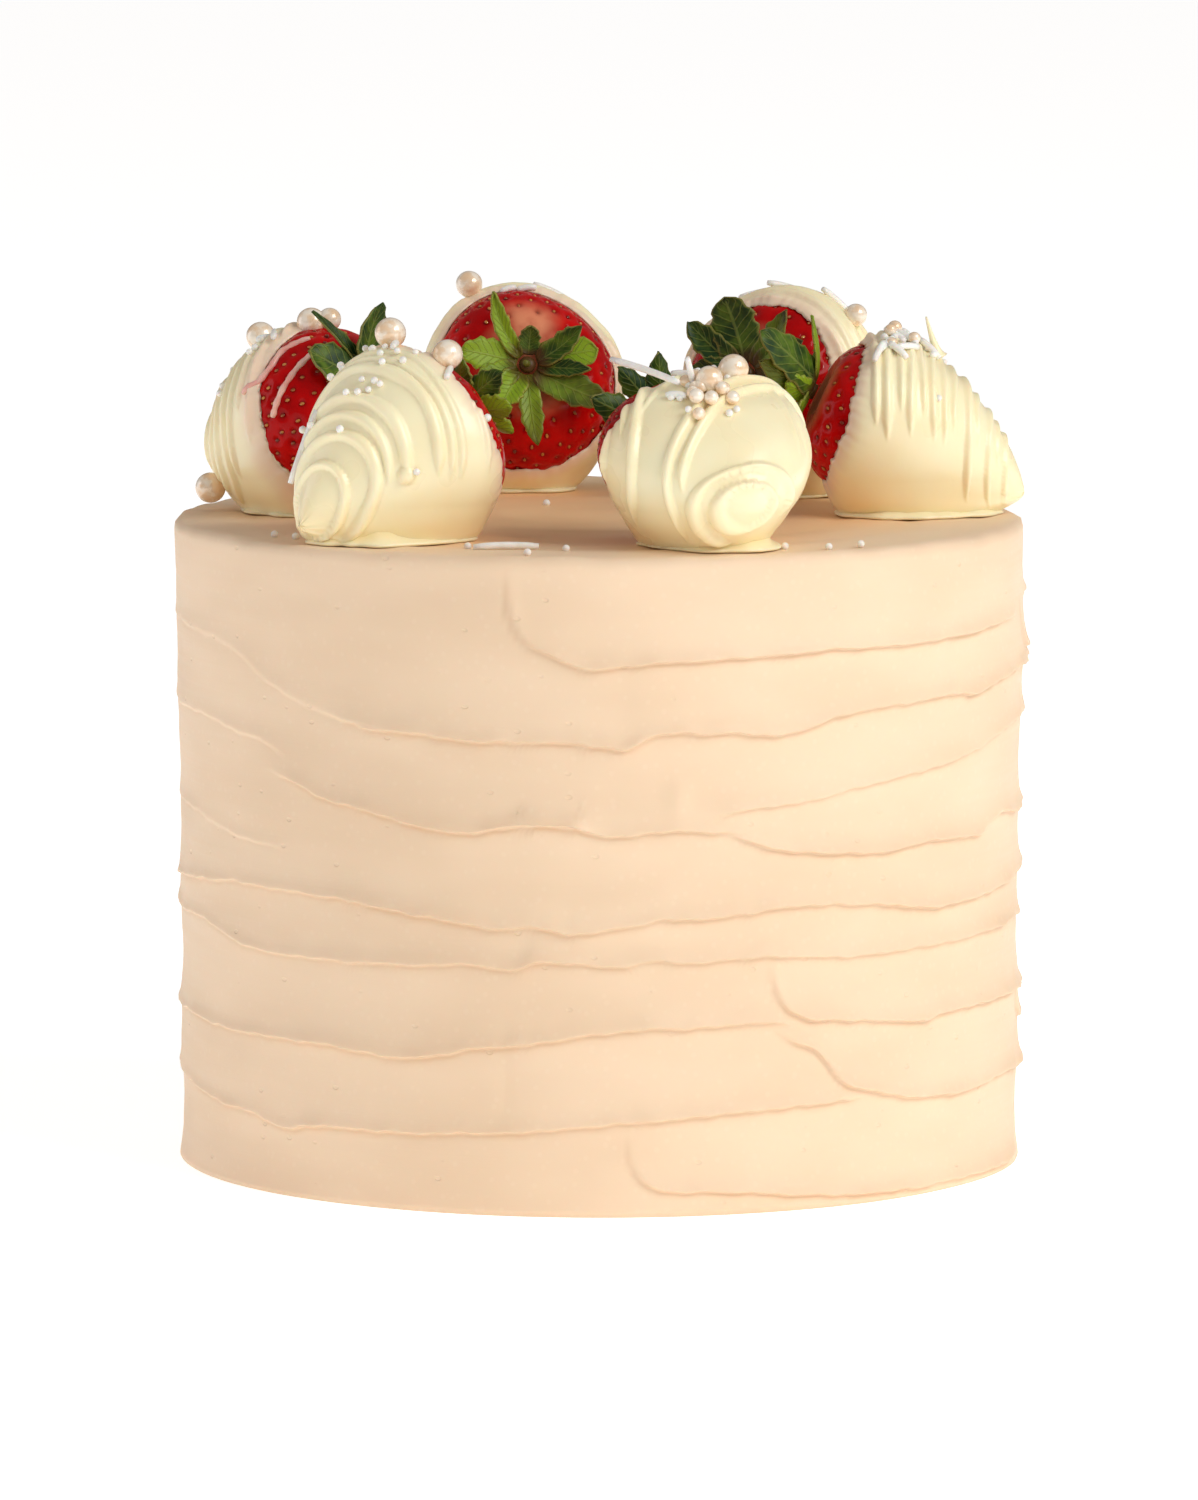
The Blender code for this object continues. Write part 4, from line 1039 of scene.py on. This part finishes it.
# Each one's sugar strands, as (share and degrees of one end, share and degrees of the other)
STRANDS = {
    "front_left": ((0.14, 40, 0.22, 48), (0.2, 2, 0.26, 10)),
    "front_right": (
        (0.1, -43, 0.5, -28), (0.2, -41, 0.5, -22), (0.3, -20, 0.44, -4), (0.5, -37, 0.56, -27),
    ),
    "right": (
        (0.16, -42, 0.2, -16), (0.2, -4, 0.36, 4), (0.26, -12, 0.38, -2), (0.17, -6, 0.3, -22),
        (0.25, 6, 0.33, 16), (0.16, -52, 0.18, -33), (0.33, -8, 0.42, -16), (0.19, -34, 0.3, -40),
        (0.21, -22, 0.24, 2), (0.24, -34, 0.33, -24), (0.28, 0, 0.37, 12), (0.17, -12, 0.25, -20),
        (0.36, 2, 0.43, -6), (0.18, 8, 0.27, 0),
    ),
    "back_right": ((0.24, 26, 0.34, 4), (0.25, 10, 0.42, -4), (0.3, -20, 0.46, -32)),
    "back_left": ((0.24, 14, 0.26, 5), (0.25, 4, 0.27, -8), (0.36, -6, 0.4, -26)),
    "left": ((0.44, 4, 0.31, 30), (0.5, -20, 0.62, -4), (0.36, -22, 0.5, -40)),
}
# Strands that lean on a strawberry, as (one end, the other end), in mm
LEANING_STRANDS = {
    "front_left": (((-51.9, -48, 145.2), (-56.8, -49, 131.7)),),
}
STRAND_DIAMETER = 1.3 * MM
COAT_ROUNDNESS = 17 * MM
NONPAREIL_DIAMETER = 1.45 * MM
NONPAREILS_EACH = 14

# Nonpareils that are placed one by one, as (share, degrees)
SEEN_NONPAREILS = {
    "front_left": (
        (0.23, -27), (0.28, -8), (0.38, -28), (0.48, -23), (0.47, 9), (0.45, 18), (0.45, 23), (0.5, 19),
        (0.57, 8), (0.55, 16), (0.72, 21), (0.61, 84), (0.37, 15), (0.26, 14), (0.22, 22), (0.14, 36),
        (0.72, -19), (0.71, -38), (0.17, 80), (0.27, 3),
    ),
    "front_right": (
        (0.68, -33), (0.7, 3), (0.72, -5), (0.28, 12), (0.34, -4), (0.52, -35), (0.55, -31), (0.4, 4),
    ),
    "left": ((0.62, 27), (0.63, 44), (0.63, 51)),
    "right": (
        (0.17, -2), (0.2, -34), (0.2, 4), (0.24, -24), (0.34, -2), (0.27, 0), (0.31, 8), (0.17, -24),
        (0.38, -9),
    ),
}
NONPAREILS_MORE = {"front_left": 3, "front_right": 5, "right": 10}

# What fell on the cake: strands as (x, y, length, heading in degrees), balls as (x, y), in mm
FALLEN_STRANDS = ((-17, -63, 12, 7), (47, 20, 11, 100), (-20, 66, 12, 35))
FALLEN_BALLS = (
    (-13, -73), (42, -63), (-56, -44), (-24, -62), (-6, -66), (-60, -40), (28, 40), (34, -62), (48, -58),
    (-52, 40), (6, 74), (-10, 20), (70, 22),
)


def strand_between(bm, start, end, radius):
    """A sugar strand, slightly bent, with blunt ends."""
    share = np.linspace(0, 1, 7)[:, None]
    path = np.array(start) + (np.array(end) - np.array(start)) * share
    path[:, 2] += 0.25 * MM * np.sin(share[:, 0] * math.pi)
    rod(bm, path, radius * np.array((0.78, 1, 1, 1.03, 1, 1, 0.82)), 9)


def make_toppings(berry, stand, coat, pearl, sugar):
    """The pearls, and the strands and nonpareils, that stuck to one strawberry's coat."""
    node = f"chocolate_coat_{berry.name}"
    bm = bmesh.new()
    for share, degrees, diameter, lift in PEARLS.get(berry.name, ()):
        where, facing = on_coat(berry, stand, coat, share, degrees)
        centre = where + facing * MM * (diameter * (0.5 - PEARL_SUNK_SHARE) + lift)
        ball(bm, centre, diameter * MM, 4 if diameter > 4 else 3)
    piece(bm, f"pearls_{berry.name}", pearl, node)
    bm = bmesh.new()
    for share, degrees, far_share, far_degrees in STRANDS.get(berry.name, ()):
        start, start_facing = on_coat(berry, stand, coat, share, degrees)
        end, end_facing = on_coat(berry, stand, coat, far_share, far_degrees)
        # The coat bulges between a strand's two ends by about this much, so the strand lies higher
        bulge = (end - start).length ** 2 / (8 * COAT_ROUNDNESS)
        raised = STRAND_DIAMETER * 0.42 + bulge * 0.9
        strand_between(bm, start + start_facing * raised, end + end_facing * raised, STRAND_DIAMETER / 2)
    for start, end in LEANING_STRANDS.get(berry.name, ()):
        strand_between(bm, np.array(start) * MM, np.array(end) * MM, STRAND_DIAMETER / 2)
    draw = random.Random(f"nonpareils {berry.name}")
    places = list(SEEN_NONPAREILS.get(berry.name, ()))
    for _ in range(NONPAREILS_MORE.get(berry.name, NONPAREILS_EACH)):
        places.append((draw.uniform(berry.bare + 0.12, 0.5), draw.gauss(0, 24)))
    for share, degrees in places:
        where, facing = on_coat(berry, stand, coat, share, degrees)
        ball(bm, where + facing * NONPAREIL_DIAMETER * 0.3, NONPAREIL_DIAMETER * draw.uniform(0.85, 1.1), 2)
    piece(bm, f"sprinkles_{berry.name}", sugar, node)


def make_fallen(sugar):
    bm = bmesh.new()
    top = CAKE_HEIGHT * MM
    for x, y, length, heading in FALLEN_STRANDS:
        way = Vector((math.cos(math.radians(heading)), math.sin(math.radians(heading)), 0)) * length * MM / 2
        middle = Vector((x * MM, y * MM, top + STRAND_DIAMETER * 0.35))
        strand_between(bm, middle - way, middle + way, STRAND_DIAMETER / 2)
    for x, y in FALLEN_BALLS:
        ball(bm, (x * MM, y * MM, top + NONPAREIL_DIAMETER * 0.3), NONPAREIL_DIAMETER, 2)
    piece(bm, "fallen_sprinkles", sugar, "cake")


# ---------------------------------------------------------------- calyxes


class Sepal(NamedTuple):
    """A sepal: the degrees round from the top at its tip, its reach from the stalk and its width in mm, how
    many degrees it sways from its foot, how far its tip stands off in mm, how deep it is folded, its tone
    from dark to yellow-green, how brown its tip is, and how blunt it is from 0 to 1."""

    degrees: float
    reach: float
    width: float
    sway: float = 0
    lift: float = 1.0
    fold: float = 0.35
    tone: float = 0.4
    brown: float = 0.0
    blunt: float = 0.5


SEPALS = {
    "back_left": (
        (25, 15.2, 3.4, -16, 3, 0.55, 1, 0.1, 0.3), (79, 13, 6.6, 6, 2.2, 0.12, 0.92, 0, 0.9),
        (112, 10.8, 5.6, 0, 1.6, 0.2, 0.8, 0, 0.7), (150, 10.2, 6, 8, 2.6, 0.5, 0.88, 0, 0.6),
        (-174, 16.2, 4.4, 4, 0.8, 0.25, 0.8, 0.7, 0.6), (-57, 12.4, 4.6, 12, 3.2, 0.6, 0.24, 0, 0.4),
        (-79, 13.8, 7.2, -6, 1, 0.12, 0.98, 0, 1), (-98, 12.2, 3.6, 0, 2.8, 0.4, 0.14, 0, 0.4),
        (-117, 17.2, 6.6, 6, 0.8, 0.2, 0.42, 0.55, 0.7), (-6, 7.2, 4.2, 0, 2, 0.3, 0.25, 0.2, 0.7),
    ),
    "back_right": (
        (20, 14.8, 9.4, 4, 3.4, 0.1, 0.2, 0.1, 1), (54, 15.4, 5.6, -6, 2.6, 0.35, 0.12, 0, 0.6),
        (90, 11.5, 5, 5, 1.2, 0.3, 0.1, 0.4, 0.5), (128, 10, 5, 0, 1, 0.3, 0.25),
        (172, 10, 5.2, 5, 1, 0.3, 0.3), (-34, 14.6, 4.8, 8, 3, 0.35, 0.34, 0.4, 0.4),
        (-62, 13.5, 6.6, 5, 2, 0.3, 0.2, 0.3), (-95, 13.5, 5.8, 0, 1, 0.25, 0.3, 0.3),
        (-140, 10.5, 5, 0, 1, 0.3, 0.4, 0.2),
    ),
    "right": (
        (-8, 13.1, 3.2, 4, 6, 0.4, 0.85, 0, 0.3), (-50, 10.4, 8.4, 5, 14, 0.12, 0.22, 0, 0.8),
        (-94, 7.5, 5.2, 0, 5.5, 0.35, 0.98, 0, 0.8), (-80, 8.5, 5.8, 6, 12, 0.3, 0.45, 0.5, 0.6),
        (-125, 10.5, 5, 0, 1, 0.35, 0.5), (45, 9.5, 4.8, 0, 2, 0.3, 0.4), (92, 10.5, 5, 5, 1, 0.3, 0.4),
        (140, 10, 4.8, 0, 1, 0.3, 0.4), (-170, 9.5, 4.8, 0, 0.5, 0.3, 0.6),
    ),
    "left": (
        (-7, 15.6, 8.4, -38, 5, 0.15, 0.18, 0, 0.6), (57, 17.2, 8.4, -5, -2, 0.15, 0.24, 0, 0.9),
        (34, 20.2, 3, 4, -1, 0.45, 0.12, 0, 0.3), (95, 11.5, 5.4, 0, 1, 0.3, 0.35),
        (140, 10.5, 5.2, 4, 1, 0.3, 0.4), (-175, 10.5, 5, 0, 1, 0.3, 0.4),
        (-120, 11.5, 5, 0, 1.5, 0.3, 0.35), (-62, 12.5, 5, 6, 2.5, 0.3, 0.3),
    ),
    "front_left": (
        (-47, 14.4, 3, 6, -1.5, 0.5, 0.1), (140, 9.4, 5.2, 0, 3, 0.5, 0.9), (60, 9.4, 5.4, 6, 5, 0.4, 0.26),
        (100, 9.6, 5.4, 0, 3, 0.4, 0.85), (15, 9.5, 4.8, 4, 1.5, 0.3, 0.35), (180, 9, 4.8, 0, 1, 0.3, 0.4),
        (-140, 9.5, 4.8, 5, 1, 0.3, 0.4), (-95, 10, 5, 0, 1, 0.3, 0.35), (-15, 9, 4.6, -5, 2, 0.3, 0.3),
    ),
    "front_right": (
        (-68, 15.8, 5.8, 5, 2, 0.4, 0.14), (-40, 15, 4.8, -6, 2, 0.4, 0.14),
        (-8, 14.6, 5, 4, 1.5, 0.3, 0.16), (24, 11.2, 4.6, 0, 1.5, 0.3, 0.25),
        (72, 9.5, 4.8, 5, 1, 0.3, 0.3), (115, 9.5, 4.8, 0, 1, 0.3, 0.35), (165, 9, 4.8, 0, 1, 0.3, 0.4),
        (-125, 9.5, 4.8, 4, 1, 0.3, 0.35),
    ),
}
SEPAL_THICKNESS = 0.4 * MM
STALK_CLEARANCE = 0.9 * MM
SEPAL_FOOT = 2.0 * MM


def make_calyx(berry, stand, finish):
    """The green star on the stalk end: curled, folded sepals, their hub and the stub of the stalk."""
    bm = bmesh.new()
    names = ("tone", "brown", "rib", "along")
    layer = {name: bm.verts.layers.float.new(name) for name in names}
    foot = -MIDDLE_SHARE * berry.length * MM - STALK_CLEARANCE
    draw = random.Random(f"calyx {berry.name}")
    widest = SHOULDER_POWER / (SHOULDER_POWER + berry.taper)
    shoulder = np.linspace(0, widest, 60)
    for sepal in (Sepal(*row) for row in SEPALS[berry.name]):
        old = set(bm.verts)
        bmesh.ops.create_grid(bm, x_segments=8, y_segments=18, size=1)
        phase, ripples = draw.uniform(0, TURN), draw.uniform(5, 8)
        for vert in [v for v in bm.verts if v not in old]:
            rib, along = vert.co.x, (vert.co.y + 1) / 2
            turn = math.radians(sepal.degrees - sepal.sway * (1 - along))
            reach = SEPAL_FOOT + (sepal.reach * MM - SEPAL_FOOT) * along
            bulge = math.sin(math.pi * along ** (0.78 + 0.35 * sepal.blunt)) ** (0.9 - 0.45 * sepal.blunt)
            full = 0.42 * (1 - along) ** 2 + bulge
            teeth = 1 + 0.10 * math.sin(along * 30 + 2 * phase + (rib > 0)) * smoothstep(0.25, 0.5, along)
            half = sepal.width * MM / 2 * min(1, full) * teeth
            surface = skin_points(berry, shoulder, turn)
            body = float(np.interp(reach, np.hypot(surface[:, 1], surface[:, 2]), surface[:, 0]))
            off = sepal.lift * MM * along**1.6
            off += half * sepal.fold * abs(rib) ** 1.3
            off += 0.32 * MM * abs(rib) * math.sin(along * ripples + 2.2 * rib + phase) * along
            height = min(foot - off, body - 0.35 * MM)
            outwards = np.array((0, math.sin(turn), math.cos(turn)))
            across = np.array((0, math.cos(turn), -math.sin(turn)))
            vert.co = stand.out(outwards * reach + across * half * rib * 0.97 + np.array((height, 0, 0)))
            for name, value in zip(names, (sepal.tone, sepal.brown * along**2, rib, along)):
                vert[layer[name]] = value
            vert[layer["brown"]] = max(vert[layer["brown"]], 0.75 * (1 - smoothstep(0.06, 0.30, along)))
    sheet = piece(bm, f"calyx_leaves_{berry.name}", finish, f"calyx_{berry.name}", recalculate=False)
    wall = sheet.modifiers.new("wall", "SOLIDIFY")
    wall.thickness = SEPAL_THICKNESS
    wall.offset = 0
    bm = bmesh.new()
    path = np.array([(foot + along * MM, 0, 0) for along in (0.9, -0.2, -0.7, -0.9)])
    rod(bm, stand.out(path), np.array((1.5, 1.6, 1.2, 0.6)) * MM, 20, tone=0.1, brown=0.8)
    way = np.array((-2.4, draw.uniform(-0.8, 0.8), draw.uniform(-0.4, 0.9)))
    stub = stand.out(np.array((foot - 0.4 * MM, 0, 0)) + np.linspace(0, 1, 6)[:, None] * way * MM)
    rod(bm, stub, np.array((0.8, 0.7, 0.65, 0.62, 0.62, 0.55)) * MM, 12, tone=0.5, brown=0.55)
    piece(bm, f"stalk_{berry.name}", finish, f"calyx_{berry.name}")


# ---------------------------------------------------------------- loose drizzle

# Thin pink lines that ran across the bare red of the left strawberry, as (share, degrees)
PINK_LINES = (
    ((0.15, 27), (0.20, 35), (0.25, 41), (0.28, 53), (0.34, 61), (0.42, 67)),
    ((0.10, 42), (0.13, 54), (0.17, 65), (0.22, 75), (0.26, 83), (0.29, 89)),
)
PINK_LINE_LIFT = 0.25
PINK_LINE_POINTS = 22
# A peak that the chocolate of the right strawberry was pulled into, at (share, degrees), and its radii in mm
PEAK_FOOT = (0.44, -4)
PEAK_RADII = (1.7, 1.3, 1.0, 0.8, 0.65, 0.52, 0.42, 0.32, 0.18)


def make_loose_drizzle(stands, coats, pink, finish):
    """The pink lines on the left strawberry and the peak on the right one."""
    berry = next(b for b in STRAWBERRIES if b.name == "left")
    stand = stands["left"]
    bm = bmesh.new()
    for line in PINK_LINES:
        steps = np.linspace(0, 5, PINK_LINE_POINTS)
        shares, degrees = (np.interp(steps, range(6), values) for values in zip(*line))
        points = skin_points(berry, shares, np.radians(degrees))
        outwards = points * (0, 1, 1)
        outwards /= np.linalg.norm(outwards, axis=1, keepdims=True)
        width = 0.58 + 0.10 * np.sin(np.arange(PINK_LINE_POINTS) * 1.7)
        width[:2], width[-2:] = (0.35, 0.5), (0.6, 0.45)
        past = (shares - coat_edge(berry, np.radians(degrees))) * berry.length
        raised = PINK_LINE_LIFT + 1.35 * smoothstep(-0.5, 2.5, past)
        rod(bm, stand.out(points + outwards * raised[:, None] * MM), width * MM, 10)
    piece(bm, "pink_drizzle", pink, "chocolate_coat_left")
    berry = next(b for b in STRAWBERRIES if b.name == "right")
    where, facing = on_coat(berry, stands["right"], coats["right"], *PEAK_FOOT)
    share = np.linspace(0, 1, 9)[:, None]
    lean = np.array((-2.0, -0.4, 1.2)) * share + np.array((-0.6, 0, 6.6)) * share**1.4
    bm = bmesh.new()
    rod(bm, np.array(where - facing * 0.3 * MM) + lean * MM, np.array(PEAK_RADII) * MM, 10)
    piece(bm, "pulled_peak", finish, "chocolate_coat_right")


def pink_chocolate():
    finish = Finish("pink_chocolate", Subsurface_Weight=0.2, Subsurface_Scale=0.002, Coat_Weight=0.2)
    tone = finish.noise(300, 2.0)
    colour = finish.mix(finish.span(tone, 0.3, 0.7), (0.84, 0.40, 0.34), (0.90, 0.56, 0.47))
    return finish.wear(colour, finish.bump(finish.noise(700, 2.0), 0.00008), 0.34)


# ---------------------------------------------------------------- the whole cake


def main():
    make_camera()
    make_light()
    make_floor()
    make_buttercream(buttercream())
    skin, seeds, chocolate, leaf = berry_skin(), seed_skin(), white_chocolate(), leaf_green()
    pearl, sugar = pearl_shell(), sugar_white()
    stands, coats = {}, {}
    for berry in STRAWBERRIES:
        stand = stands[berry.name] = Stand(berry)
        make_strawberry(berry, stand, skin, seeds)
        coats[berry.name] = make_coat(berry, stand, chocolate)
        make_toppings(berry, stand, coats[berry.name], pearl, sugar)
        make_calyx(berry, stand, leaf)
    make_loose_drizzle(stands, coats, pink_chocolate(), chocolate)
    make_fallen(sugar)


main()
